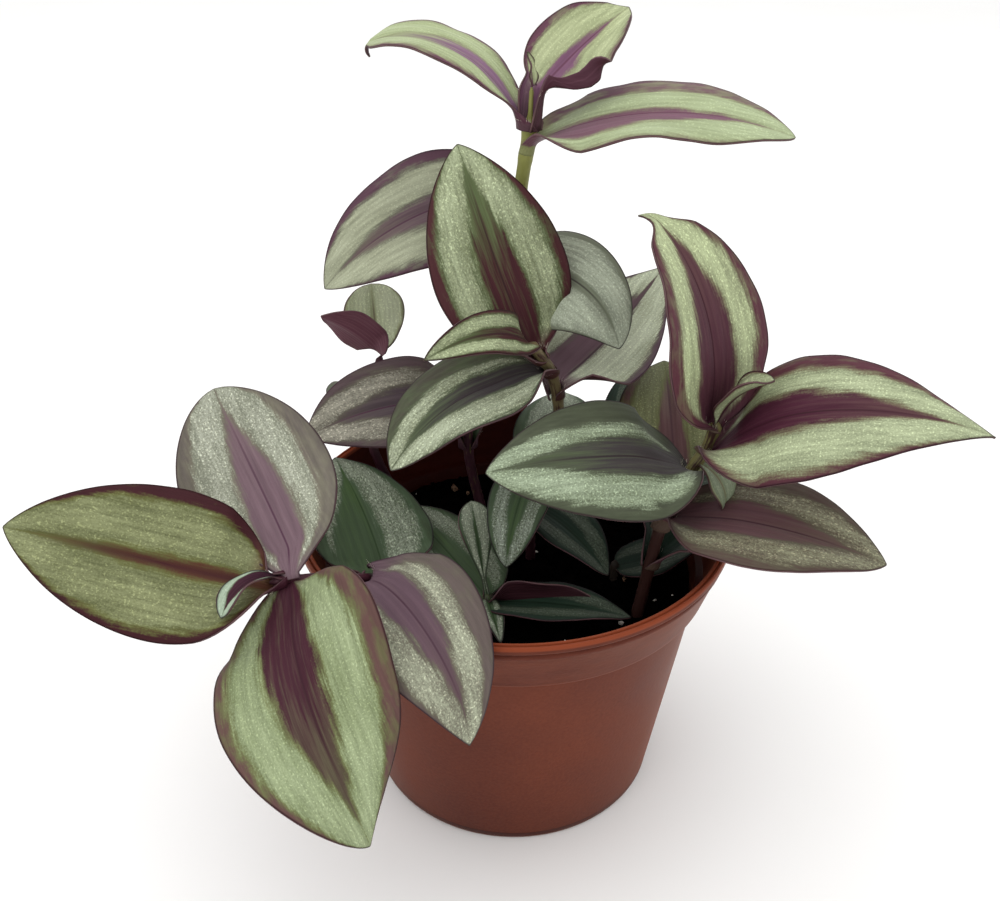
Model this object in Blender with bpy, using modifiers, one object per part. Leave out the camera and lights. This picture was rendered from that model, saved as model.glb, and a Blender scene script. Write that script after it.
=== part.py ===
# A silver striped inch plant in a plain terracotta-coloured nursery pot.
# Sizes are in millimetres and angles in degrees until a mesh is made, in metres.
# The pot's base stands on z = 0 with its centre at the origin, and the side
# that the plant leans towards the viewer is -Y.

import math

import bmesh
import bpy
from mathutils import Vector

MM = 0.001
GAP = 0.3
WELD = 0.02

# Pot
POT_HEIGHT = 73.0
LIP_RADIUS = 51.0
LIP_THICKNESS = 2.0
BAND_RADIUS_TOP = 49.9
BAND_RADIUS_BOTTOM = 46.9
BAND_BOTTOM = 59.5
BASE_RADIUS = 35.6
WALL_RADIUS_TOP = 44.6
WALL = 1.5
FLOOR = 2.2
CHANNEL_DEPTH = 0.8
CENTRE_DISC_RADIUS = 18.0
CHANNEL_OUTER_RADIUS = 31.5
DRAIN_HOLES = 5
DRAIN_HOLE_RADIUS = 2.6
DRAIN_CIRCLE_RADIUS = 25.0
TURNED_STEPS = 40

# Soil
SOIL_LEVEL = 56.8
SOIL_SIDE_GAP = 0.4
CLOD_BROAD = 0.6
CLOD_FINE = 0.5
SOIL_RINGS = (4.5, 9.5, 14.5, 19.5, 24.5, 29.5, 34.0, 38.5)
STEM_DEPTH_SPARE = 0.6
HOLE_REACH = 9.0
HOLE_EASE = 1.1
STEM_TAPER = 0.18

# Leaves
BLADE_THICKNESS = 0.7
SHEATH_WRAP = 150.0
MOUTH_WRAP = 118.0
MOUTH_FLARE = 0.35
UNROLL_WRAP = 75.0
UNROLL_END = 0.2
FLAT_TIP = 0.12
TIP_HALF_WIDTH = 0.5
BLADE_STATIONS = (0.04, 0.11, 0.2, 0.32, 0.46, 0.6, 0.74, 0.87, 1.0)
BLADE_COLUMNS = 6
STALK_STATION = 0.02
STALK_HALF_WIDTH = 2.0
STALK_WIDENING = 60.0
STALK_START = 0.42
MOUTH_SETBACK = 0.5
SHEATH_SPARE = 0.05
ROLL_END = 0.2
CURL_START = 0.7
RIPPLES = 1.5
BUD_STATIONS = (0.0, 0.14, 0.32, 0.5, 0.68, 0.85, 1.0)
BUD_COLUMNS = 4
BUD_BASE_SHARE = 0.7
PATH_STEPS = 40

# Each stem is a line of points from its foot in the soil to its tip, with the
# radius at its foot.
STEMS = {
    "a": dict(radius=1.9, points=[
        (-8, 23, 54), (-12, 24, 77), (-8, 24, 100), (-1, 23, 128), (1, 22, 144), (2.5, 22, 155), (3, 22, 165),
    ]),
    "b": dict(radius=1.5, points=[
        (12, 13, 54), (10.5, 9, 80), (10, 6, 97), (8, 3, 107), (6, 1, 111), (3, -1, 116),
    ]),
    "c": dict(radius=1.5, points=[
        (28, -19, 54), (32.5, -18, 82), (37, -16.5, 92), (40.5, -15.5, 98), (42.5, -15.5, 105),
    ]),
    "d": dict(radius=1.5, points=[
        (-27, -17, 54), (-28, -21, 64), (-31, -30, 75), (-38, -35, 80), (-49, -42, 82),
    ]),
    "e": dict(radius=1.3, points=[(-28, 24, 54), (-36, 24, 74), (-37, 30, 86), (-34, 34, 96)]),
    "g": dict(radius=1.3, points=[(-6, -19, 54), (-6, -21, 63)]),
    "h": dict(radius=1.2, points=[(24, -6, 54), (24, -6, 62)]),
    "j": dict(radius=1.2, points=[(28, 24, 54), (31, 26, 71)]),
    "k": dict(radius=1.3, points=[(4, 2, 54), (4, -2, 75), (4, -4, 86)]),
}

# A leaf grows from its stem at a distance "up" from the stem's foot, where its
# sheath ends. Heading is its compass direction from +X towards +Y and rise its
# slope, both where it leaves the stem. Sweep turns the heading and droop lowers
# the slope over its length, and curl lowers the last third further. Roll lifts
# the edge on the right-hand side, and cup is how far the blade is rolled.
LEAVES = {
    "a1": dict(up=106.5, sheath=2.5, heading=153, rise=51, sweep=8, droop=75, curl=20, roll=3,
               twist=20, length=44, width=20, cup=8, shoulder=0.75),
    "a2": dict(up=112, sheath=2.5, heading=45, rise=33, droop=15, roll=-20, length=31, width=20,
               cup=50),
    "a3": dict(up=101.5, sheath=3, heading=-10, rise=27, droop=48, roll=-12, length=56, width=26,
               cup=5),
    "a4": dict(up=88.5, sheath=4, heading=178, rise=-6, sweep=8, droop=46, roll=48, length=49,
               width=27, cup=10),
    "a5": dict(up=67.3, sheath=4, heading=-33, rise=44, droop=124, roll=-45, length=36, width=25,
               cup=-8),
    "a6": dict(up=34.5, sheath=4, heading=200, rise=15, sweep=5, droop=36, roll=32, length=40,
               width=26, cup=12),
    "a7": dict(up=60, sheath=4, heading=75, rise=10, droop=50, length=45, width=27),
    "a8": dict(up=26, sheath=4, heading=95, rise=10, droop=40, length=43, width=26),
    "b1": dict(up=61.5, sheath=2, heading=150, rise=66, sweep=-30, droop=10, roll=25, length=46,
               width=29),
    "b3": dict(up=56.5, sheath=2.5, heading=198, rise=12, sweep=25, droop=62, roll=8, length=43,
               width=26, cup=15),
    "b5": dict(up=49.5, sheath=3, heading=52, rise=7, droop=-25, roll=-14, length=45, width=30),
    "b6": dict(up=20, sheath=4, heading=88, rise=12, droop=15, length=39, width=24),
    "c1": dict(up=53.5, sheath=1.5, heading=132, rise=98, sweep=15, droop=68, length=49, width=34,
               cup=15),
    "c2": dict(up=47.8, sheath=2, heading=-42, rise=50, sweep=35, droop=68, roll=-30, twist=25,
               length=57, width=30, cup=-10, taper=1.1, shoulder=0.52),
    "c3": dict(up=41.5, sheath=3, heading=212, rise=27, sweep=-35, droop=46, roll=31, length=45.5,
               width=29, cup=-10),
    "c4": dict(up=30, sheath=4, heading=-32, rise=19, sweep=12, droop=36, roll=-11, length=45,
               width=27, taper=0.65),
    "c7": dict(up=35.5, sheath=3, heading=88, rise=24, droop=22, length=44, width=26, cup=15),
    "c8": dict(up=19, sheath=3, heading=38, rise=25, droop=35, length=41, width=25),
    "d1": dict(up=49, sheath=1.5, heading=190, rise=27, sweep=-20, droop=21, roll=42, twist=10,
               length=52, width=31, cup=5, shoulder=0.47),
    "d2": dict(up=42, clasp=False, heading=115, rise=10.5, sweep=20, droop=-45, roll=18, length=47,
               width=33, cup=12, taper=0.6, shoulder=0.6),
    "d3": dict(up=43, clasp=False, below=80, heading=-90, rise=0, sweep=60, droop=73, roll=-20,
               twist=62, length=58, width=36, shoulder=0.5),
    "d4": dict(up=27, sheath=3, heading=-58, rise=35, sweep=15, droop=127, roll=-16, length=50,
               width=28, cup=-3),
    "d5": dict(up=12.5, sheath=3, heading=108, rise=27, sweep=20, roll=-8, length=34, width=29),
    "e3": dict(up=32, sheath=3, heading=95, rise=5, droop=50, length=35, width=24),
}

# Buds and young leaves grow out of their stem in one piece with it.
BUDS = {
    "a": [
        dict(up=113, heading=20, rise=70, droop=10, length=13, width=4, cup=60),
    ],
    "b": [
        dict(up=64.0, heading=240, rise=43, sweep=-20, droop=58, roll=60, length=34, width=14, cup=25),
    ],
    "c": [
        dict(up=52.5, heading=-45, rise=78, sweep=15, droop=55, length=19, width=8, cup=60, shoulder=1.3),
        dict(up=43.2, heading=-35, rise=0, droop=105, length=10, width=5, cup=20, shoulder=1.1),
    ],
    "d": [
        dict(up=48.2, heading=218, rise=45, sweep=30, droop=95, length=14, width=6, cup=30, shoulder=1.3),
    ],
    "e": [
        dict(up=47.5, heading=93, rise=35, sweep=20, droop=-55, length=17, width=13, cup=20, taper=0.5, shoulder=0.8),
        dict(up=46.5, heading=195, rise=55, droop=30, roll=-65, length=19, width=12, cup=30),
    ],
    "g": [
        dict(up=8.0, heading=127, rise=15, droop=10, length=36, width=23),
        dict(up=8.5, heading=110, rise=60, length=18, width=8, cup=30),
        dict(up=6.5, heading=-14, rise=15, droop=22, length=33, width=14, cup=15),
        dict(up=7.5, heading=-5, rise=8, droop=5, roll=80, length=24, width=10, cup=15),
        dict(up=8.0, heading=-82, rise=30, length=17, width=6, cup=30),
    ],
    "h": [
        dict(up=6.0, heading=6, rise=14, length=21, width=15),
    ],
    "j": [
        dict(up=15.5, heading=15, rise=52, droop=60, length=32, width=20),
        dict(up=16.5, heading=72, rise=55, droop=65, length=35, width=22),
    ],
    "k": [
        dict(up=31.5, heading=252, rise=0, droop=75, length=25, width=14, cup=15),
        dict(up=21.0, heading=-45, rise=5, droop=45, length=26, width=15, cup=15),
    ],
}

LEAF_DEFAULTS = dict(clasp=True, below=0, sheath=3, rise=0, sweep=0, droop=0, curl=0, roll=0, twist=0,
                     cup=10, shoulder=0.46, taper=0.8, wave=0.5)

POT_COLOUR = "8f4a33"
SOIL_COLOUR = "15110e"
STEM_COLOURS = {"a": "7d8548", "b": "6a5a3c", "c": "77714a", "d": "7a3f38", "e": "4d3434"}
YOUNG_COLOUR = "5f7a52"
LEAF_COLOURS = {"a": "8f9c6b", "b": "8a9468", "c": "93a06e", "d": "8d9b6a", "e": "7a7468"}


def clear_scene():
    for obj in list(bpy.data.objects):
        bpy.data.objects.remove(obj, do_unlink=True)


def new_collection(name):
    collection = bpy.data.collections.new(name)
    bpy.context.scene.collection.children.link(collection)
    return collection


def linear_colour(code):
    channels = [int(code[i:i + 2], 16) / 255 for i in (0, 2, 4)]
    return [c / 12.92 if c <= 0.04045 else ((c + 0.055) / 1.055) ** 2.4 for c in channels] + [1.0]


def give_material(obj, colour, roughness):
    material = bpy.data.materials.new(obj.name)
    material.use_nodes = True
    shader = material.node_tree.nodes["Principled BSDF"]
    shader.inputs["Base Color"].default_value = linear_colour(colour)
    shader.inputs["Roughness"].default_value = roughness
    shader.inputs["Metallic"].default_value = 0.0
    obj.data.materials.clear()
    obj.data.materials.append(material)


def object_from_bmesh(bm, name, collection):
    mesh = bpy.data.meshes.new(name)
    bm.to_mesh(mesh)
    bm.free()
    obj = bpy.data.objects.new(name, mesh)
    collection.objects.link(obj)
    return obj


def applied(obj):
    graph = bpy.context.evaluated_depsgraph_get()
    mesh = bpy.data.meshes.new_from_object(obj.evaluated_get(graph))
    obj.modifiers.clear()
    obj.data = mesh
    return obj


def weld(mesh):
    bm = bmesh.new()
    bm.from_mesh(mesh)
    bmesh.ops.remove_doubles(bm, verts=bm.verts, dist=WELD * MM)
    bm.to_mesh(mesh)
    bm.free()


def turned(name, profile, collection):
    # The profile runs down the outer side at +X and is spun about Z.
    bm = bmesh.new()
    verts = [bm.verts.new((r * MM, 0, z * MM)) for r, z in profile]
    for a, b in zip(verts, verts[1:]):
        bm.edges.new((a, b))
    obj = object_from_bmesh(bm, name, collection)
    screw = obj.modifiers.new("turn", "SCREW")
    screw.axis = "Z"
    screw.steps = TURNED_STEPS
    screw.render_steps = TURNED_STEPS
    screw.use_merge_vertices = True
    screw.merge_threshold = 0.00001
    return applied(obj)


def cylinder_cutter(radius, low, high, x, y, collection):
    bpy.ops.mesh.primitive_cylinder_add(
        vertices=16, radius=radius * MM, depth=(high - low) * MM, location=(x * MM, y * MM, (low + high) / 2 * MM)
    )
    cutter = bpy.context.object
    for home in list(cutter.users_collection):
        home.objects.unlink(cutter)
    collection.objects.link(cutter)
    cutter.hide_render = True
    cutter.display_type = "WIRE"
    return cutter


def boolean_with(obj, collection, operation):
    modifier = obj.modifiers.new(operation.lower(), "BOOLEAN")
    modifier.operation = operation
    modifier.solver = "EXACT"
    modifier.operand_type = "COLLECTION"
    modifier.collection = collection
    applied(obj)
    for member in list(collection.objects):
        bpy.data.objects.remove(member, do_unlink=True)


def unit(heading, rise):
    h = math.radians(heading)
    r = math.radians(rise)
    return Vector((math.cos(r) * math.cos(h), math.cos(r) * math.sin(h), math.sin(r)))


def smooth_line(points, parts=4):
    # A Catmull-Rom curve through the points.
    known = [Vector(p) for p in points]
    padded = [2 * known[0] - known[1]] + known + [2 * known[-1] - known[-2]]
    line = []
    for before, start, end, after in zip(padded, padded[1:], padded[2:], padded[3:]):
        for k in range(parts):
            t = k / parts
            line.append(0.5 * (2 * start + (end - before) * t
                               + (2 * before - 5 * start + 4 * end - after) * t * t
                               + (3 * start - before - 3 * end + after) * t ** 3))
    line.append(known[-1])
    return line


def stem_line(stem):
    return smooth_line(STEMS[stem]["points"])


def along_line(line, distance):
    # The point at a distance from the line's start, and the direction there.
    for a, b in zip(line, line[1:]):
        step = (b - a).length
        if distance <= step:
            return a + (b - a) * (distance / step), (b - a).normalized()
        distance -= step
    direction = (line[-1] - line[-2]).normalized()
    return line[-1] + direction * distance, direction


def with_defaults(leaf):
    return {**LEAF_DEFAULTS, **leaf}


def blade_half_width(leaf, s):
    a = leaf["shoulder"]
    b = leaf["taper"]
    top = a / (a + b)
    shape = (s ** a) * ((1 - s) ** b) / ((top ** a) * ((1 - top) ** b))
    return leaf["width"] / 2 * shape


def blade_path(leaf, start):
    # The midrib's points with the blade's right-hand and upward directions.
    path = []
    point = Vector(start)
    step = leaf["length"] / PATH_STEPS
    for i in range(PATH_STEPS + 1):
        s = i / PATH_STEPS
        heading = leaf["heading"] + leaf["sweep"] * s
        rise = leaf["rise"] - leaf["droop"] * s - leaf["curl"] * max(0, (s - CURL_START) / (1 - CURL_START)) ** 2
        forward = unit(heading, rise)
        h = math.radians(heading)
        side = Vector((math.sin(h), -math.cos(h), 0))
        normal = side.cross(forward)
        roll = math.radians(leaf["roll"] + leaf["twist"] * (s - 0.5)) * min(1, s / ROLL_END)
        path.append((s, point.copy(),
                     side * math.cos(roll) + normal * math.sin(roll),
                     normal * math.cos(roll) - side * math.sin(roll)))
        point += forward * step
    return path


def path_at(path, s):
    place = s * PATH_STEPS
    i = min(PATH_STEPS - 1, int(place))
    t = place - i
    near, far = path[i], path[i + 1]
    return (near[1].lerp(far[1], t), near[2].lerp(far[2], t).normalized(), near[3].lerp(far[3], t).normalized())


def flat_tipped(cup, s):
    return cup * min(1, (1 - s) / FLAT_TIP)


def unrolled_cup(leaf, s):
    left = max(0, 1 - s / UNROLL_END) ** 2
    return flat_tipped(leaf["cup"] + (UNROLL_WRAP - leaf["cup"]) * left, s)


def sheath_radius(stem):
    # The sheath's flats stay clear of the stem by the gap.
    flat = math.cos(math.radians(SHEATH_WRAP / BLADE_COLUMNS))
    return (STEMS[stem]["radius"] + GAP + SHEATH_SPARE + BLADE_THICKNESS / 2) / flat


def stalk_sections(stem, leaf):
    # A leaf on a level stretch of stem has a narrow stalk, cut off along the bark.
    node, axis = along_line(stem_line(stem), leaf["up"])
    forward = unit(leaf["heading"], leaf["rise"])
    level = (forward - axis * forward.dot(axis)).normalized()
    under = axis.cross(level) * math.copysign(1, -axis.cross(level).z)
    below = math.radians(leaf["below"])
    outward = level * math.cos(below) + under * math.sin(below)
    start = node + outward * (STEMS[stem]["radius"] + GAP + STALK_START)
    path = blade_path(leaf, start)
    _, side, _ = path_at(path, 0)
    along = axis * math.copysign(1, axis.dot(side))
    sections = [(start, along, along.cross(level), STALK_HALF_WIDTH, 0, 0)]
    for s in (STALK_STATION,) + BLADE_STATIONS:
        point, side, normal = path_at(path, s)
        widest = STALK_HALF_WIDTH + STALK_WIDENING * max(0, s - STALK_STATION)
        half = max(TIP_HALF_WIDTH, min(widest, blade_half_width(leaf, s)), STALK_HALF_WIDTH * (1 - s))
        sections.append((point, side, normal, half, flat_tipped(leaf["cup"], s), s))
    return sections


def clasping_sections(stem, leaf):
    # A leaf's sheath is nearly a ring round its stem and unrolls into the blade.
    mouth, direction = along_line(stem_line(stem), leaf["up"])
    foot, foot_direction = along_line(stem_line(stem), leaf["up"] - leaf["sheath"])
    radius = sheath_radius(stem)
    flared = radius + MOUTH_FLARE
    base_normal = path_at(blade_path(leaf, mouth), 0)[2]
    outward = unit(leaf["heading"], leaf["rise"])
    lip = mouth - direction * MOUTH_SETBACK
    sections = []
    rings = ((foot, foot_direction, radius, SHEATH_WRAP), (lip, direction, flared, MOUTH_WRAP))
    for centre, axis, ring_radius, wrap in rings:
        facing = 2 * outward.dot(axis) * base_normal - outward
        normal = (facing - axis * facing.dot(axis)).normalized()
        half = ring_radius * math.radians(wrap)
        sections.append((centre - normal * ring_radius, axis.cross(normal), normal, half, wrap, 0.0))
    start = mouth - sections[-1][2] * flared
    path = blade_path(leaf, start)
    for s in BLADE_STATIONS:
        point, side, normal = path_at(path, s)
        half = max(TIP_HALF_WIDTH, blade_half_width(leaf, s))
        sections.append((point, side, normal, half, unrolled_cup(leaf, s), s))
    return sections


def leaf_sections(stem, leaf):
    # Sections from base to tip, each with its centre, side, normal, half width,
    # cup and place along the blade.
    leaf = with_defaults(leaf)
    if leaf["clasp"]:
        return leaf, clasping_sections(stem, leaf)
    return leaf, stalk_sections(stem, leaf)


def bud_sections(stem, bud):
    # A bud's blade starts inside its stem.
    bud = with_defaults(bud)
    start, _ = along_line(stem_line(stem), bud["up"])
    path = blade_path(bud, start)
    narrow = STEMS[stem]["radius"] * BUD_BASE_SHARE
    sections = []
    for s in BUD_STATIONS:
        point, side, normal = path_at(path, s)
        half = max(TIP_HALF_WIDTH, blade_half_width(bud, s), narrow * (1 - s) ** 3)
        sections.append((point, side, normal, half, flat_tipped(bud["cup"], s), s))
    return bud, sections


def section_point(leaf, section, v):
    # v runs from -1 at one edge to 1 at the other.
    point, side, normal, half, cup, s = section
    angle = math.radians(cup)
    if abs(angle) < 0.001:
        across, lift = half * v, 0.0
    else:
        across = half * math.sin(angle * v) / angle
        lift = half * (1 - math.cos(angle * v)) / angle
    ripple = leaf["wave"] * math.sin(math.tau * RIPPLES * s + (2.0 if v < 0 else 0.0)) * v * v
    return point + side * across + normal * (lift + ripple * min(1, 4 * s * (1 - s)))


def blade_object(name, leaf, sections, columns, collection):
    rows = len(sections) - 1
    bm = bmesh.new()
    bmesh.ops.create_grid(bm, x_segments=columns, y_segments=rows, size=1)
    for vert in bm.verts:
        section = sections[round((vert.co.y + 1) / 2 * rows)]
        vert.co = section_point(leaf, section, vert.co.x) * MM
    bmesh.ops.triangulate(bm, faces=bm.faces)
    obj = object_from_bmesh(bm, name, collection)
    shell = obj.modifiers.new("thickness", "SOLIDIFY")
    shell.thickness = BLADE_THICKNESS * MM
    shell.offset = 0
    return applied(obj)


def tube(name, line, radii, collection):
    curve = bpy.data.curves.new(name, "CURVE")
    curve.dimensions = "3D"
    curve.bevel_depth = MM
    curve.bevel_resolution = 2
    curve.use_fill_caps = True
    spline = curve.splines.new("POLY")
    spline.points.add(len(line) - 1)
    for point, place, radius in zip(spline.points, line, radii):
        point.co = (*(place * MM), 1)
        point.radius = radius
    wire = bpy.data.objects.new(name + "_line", curve)
    collection.objects.link(wire)
    graph = bpy.context.evaluated_depsgraph_get()
    mesh = bpy.data.meshes.new_from_object(wire.evaluated_get(graph))
    obj = bpy.data.objects.new(name, mesh)
    obj.matrix_world = wire.matrix_world
    collection.objects.link(obj)
    bpy.data.objects.remove(wire, do_unlink=True)
    weld(mesh)
    return obj


def make_stem(stem, parts, joined):
    line = stem_line(stem)
    base_radius = STEMS[stem]["radius"]
    last = len(line) - 1
    radii = [base_radius * (1 - STEM_TAPER * i / last) for i in range(last + 1)]
    obj = tube("stem_" + stem, line, radii, parts)
    for i, bud in enumerate(BUDS.get(stem, [])):
        bud, sections = bud_sections(stem, bud)
        blade_object(f"bud_{stem}{i}", bud, sections, BUD_COLUMNS, joined)
    if BUDS.get(stem):
        boolean_with(obj, joined, "UNION")
        weld(obj.data)
    give_material(obj, STEM_COLOURS.get(stem, YOUNG_COLOUR), 0.5)


def make_leaf(name, parts):
    leaf, sections = leaf_sections(name[0], LEAVES[name])
    obj = blade_object("leaf_" + name, leaf, sections, BLADE_COLUMNS, parts)
    give_material(obj, LEAF_COLOURS[name[0]], 0.45)


def inner_wall_radius(z):
    low, high = FLOOR, BAND_BOTTOM - 1.3
    base = BASE_RADIUS - WALL
    top = WALL_RADIUS_TOP - WALL
    return base + (top - base) * (z - low) / (high - low)


def make_pot(parts, cutters):
    lip_low = POT_HEIGHT - LIP_THICKNESS
    inner_lip = LIP_RADIUS - 2.1
    profile = [
        (0, FLOOR),
        (BASE_RADIUS - WALL - 1.2, FLOOR),
        (inner_wall_radius(FLOOR + 1.2), FLOOR + 1.2),
        (WALL_RADIUS_TOP - WALL, BAND_BOTTOM - 1.3),
        (WALL_RADIUS_TOP - 0.9, BAND_BOTTOM - 0.4),
        (BAND_RADIUS_BOTTOM - WALL, BAND_BOTTOM),
        (inner_lip - 0.5, POT_HEIGHT - 1.6),
        (inner_lip, POT_HEIGHT - 0.3),
        (inner_lip + 0.4, POT_HEIGHT),
        (LIP_RADIUS - 0.4, POT_HEIGHT),
        (LIP_RADIUS, POT_HEIGHT - 0.5),
        (LIP_RADIUS, lip_low + 0.4),
        (LIP_RADIUS - 0.5, lip_low),
        (BAND_RADIUS_TOP + 0.1, lip_low - 0.3),
        (BAND_RADIUS_TOP + 0.5, lip_low - 0.8),
        (BAND_RADIUS_TOP + 0.5, lip_low - 1.6),
        (BAND_RADIUS_TOP, lip_low - 2.1),
        (BAND_RADIUS_BOTTOM, BAND_BOTTOM),
        (BAND_RADIUS_BOTTOM - 0.5, BAND_BOTTOM - 0.6),
        (WALL_RADIUS_TOP, BAND_BOTTOM - 0.7),
        (BASE_RADIUS + 0.2, 1.2),
        (BASE_RADIUS - 0.8, 0),
        (CHANNEL_OUTER_RADIUS, 0),
        (CHANNEL_OUTER_RADIUS - 0.8, CHANNEL_DEPTH),
        (CENTRE_DISC_RADIUS + 0.8, CHANNEL_DEPTH),
        (CENTRE_DISC_RADIUS, 0),
        (0, 0),
    ]
    pot = turned("pot", profile, parts)
    for i in range(DRAIN_HOLES):
        angle = math.tau * i / DRAIN_HOLES
        x = DRAIN_CIRCLE_RADIUS * math.cos(angle)
        y = DRAIN_CIRCLE_RADIUS * math.sin(angle)
        cylinder_cutter(DRAIN_HOLE_RADIUS, -1, FLOOR + 1, x, y, cutters)
    boolean_with(pot, cutters, "DIFFERENCE")
    give_material(pot, POT_COLOUR, 0.55)


def clod_height(x, y):
    broad = math.sin(0.21 * x + 0.6) * math.cos(0.17 * y - 0.4)
    fine = math.sin(0.55 * x - 0.38 * y) * math.cos(0.47 * y + 0.29 * x + 1.1)
    return CLOD_BROAD * broad + CLOD_FINE * fine


def make_soil(parts, cutters):
    bottom = FLOOR + GAP
    profile = [(0, SOIL_LEVEL)] + [(r, SOIL_LEVEL) for r in SOIL_RINGS]
    profile += [
        (inner_wall_radius(SOIL_LEVEL - 0.8) - SOIL_SIDE_GAP, SOIL_LEVEL - 0.8),
        (inner_wall_radius(bottom + 1.5) - SOIL_SIDE_GAP, bottom + 1.5),
        (inner_wall_radius(bottom) - 1.9, bottom),
        (0, bottom),
    ]
    soil = turned("soil", profile, parts)
    for vert in soil.data.vertices:
        if vert.co.z > (SOIL_LEVEL - 0.1) * MM:
            vert.co.z += clod_height(vert.co.x / MM, vert.co.y / MM) * MM
    for stem, shape in STEMS.items():
        line = stem_line(stem)
        foot, direction = along_line(line, 0)
        reach = [foot - direction * STEM_DEPTH_SPARE]
        reach += [along_line(line, HOLE_REACH * i / 3)[0] for i in range(4)]
        hole_radius = (shape["radius"] + GAP) * HOLE_EASE
        hole = tube("hole_" + stem, reach, [hole_radius] * len(reach), cutters)
        hole.hide_render = True
        hole.display_type = "WIRE"
    boolean_with(soil, cutters, "DIFFERENCE")
    weld(soil.data)
    give_material(soil, SOIL_COLOUR, 0.95)


def smooth_shading(parts):
    for obj in parts.objects:
        obj.data.shade_smooth()
        obj.data.set_sharp_from_angle(angle=math.radians(35))


def main():
    clear_scene()
    parts = new_collection("potted_tradescantia")
    cutters = new_collection("cutters")
    joined = new_collection("joined")
    make_pot(parts, cutters)
    make_soil(parts, cutters)
    for stem in STEMS:
        make_stem(stem, parts, joined)
    for name in LEAVES:
        make_leaf(name, parts)
    smooth_shading(parts)


main()
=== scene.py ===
import math
import random
from functools import partial

import bmesh
import bpy
from mathutils import Matrix, Vector, noise


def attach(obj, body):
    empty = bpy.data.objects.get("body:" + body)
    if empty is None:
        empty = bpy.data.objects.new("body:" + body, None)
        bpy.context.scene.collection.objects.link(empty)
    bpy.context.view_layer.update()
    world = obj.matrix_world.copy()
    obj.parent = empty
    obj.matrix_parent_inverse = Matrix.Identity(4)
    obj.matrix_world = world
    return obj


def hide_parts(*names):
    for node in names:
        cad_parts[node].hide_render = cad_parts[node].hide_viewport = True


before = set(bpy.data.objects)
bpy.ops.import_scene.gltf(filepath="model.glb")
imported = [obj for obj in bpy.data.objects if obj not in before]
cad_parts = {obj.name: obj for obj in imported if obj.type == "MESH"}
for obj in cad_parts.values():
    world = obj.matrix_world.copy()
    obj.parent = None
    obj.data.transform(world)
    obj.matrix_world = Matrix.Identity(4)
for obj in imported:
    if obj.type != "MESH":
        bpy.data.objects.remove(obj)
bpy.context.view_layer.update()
mm = 0.001

# the plant's own measures in millimetres and degrees, as its model has them
stems = {
    "a": dict(radius=1.9, points=[(-8, 23, 54), (-12, 24, 77), (-8, 24, 100), (-1, 23, 128), (1, 22, 144),
                                  (2.5, 22, 155), (3, 22, 165)]),
    "b": dict(radius=1.5, points=[(12, 13, 54), (10.5, 9, 80), (10, 6, 97), (8, 3, 107), (6, 1, 111),
                                  (3, -1, 116)]),
    "c": dict(radius=1.5, points=[(28, -19, 54), (32.5, -18, 82), (37, -16.5, 92), (40.5, -15.5, 98),
                                  (42.5, -15.5, 105)]),
    "d": dict(radius=1.5, points=[(-27, -17, 54), (-28, -21, 64), (-31, -30, 75), (-38, -35, 80),
                                  (-49, -42, 82)]),
    "e": dict(radius=1.3, points=[(-28, 24, 54), (-36, 24, 74), (-37, 30, 86), (-34, 34, 96)]),
    "g": dict(radius=1.3, points=[(-6, -19, 54), (-6, -21, 63)]),
    "h": dict(radius=1.2, points=[(24, -6, 54), (24, -6, 62)]),
    "j": dict(radius=1.2, points=[(28, 24, 54), (31, 26, 71)]),
    "k": dict(radius=1.3, points=[(4, 2, 54), (4, -2, 75), (4, -4, 86)]),
}
leafBase = dict(clasp=True, below=0, sheath=3, sweep=0, droop=0, curl=0, roll=0, twist=0, cup=10,
                shoulder=0.46, taper=0.8, wave=0.5, waveSide=0, ripples=1.5, skew=0, ring=0.75, saddle=0,
                hook=0, hookFrom=0.9, lobeSide=0, lobeHalf=0, baseHalf=0, shift=(0, 0, 0))


def leafAt(up, heading, rise, length, width, **rest):
    return {**leafBase, **dict(up=up, heading=heading, rise=rise, length=length, width=width), **rest}


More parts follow.
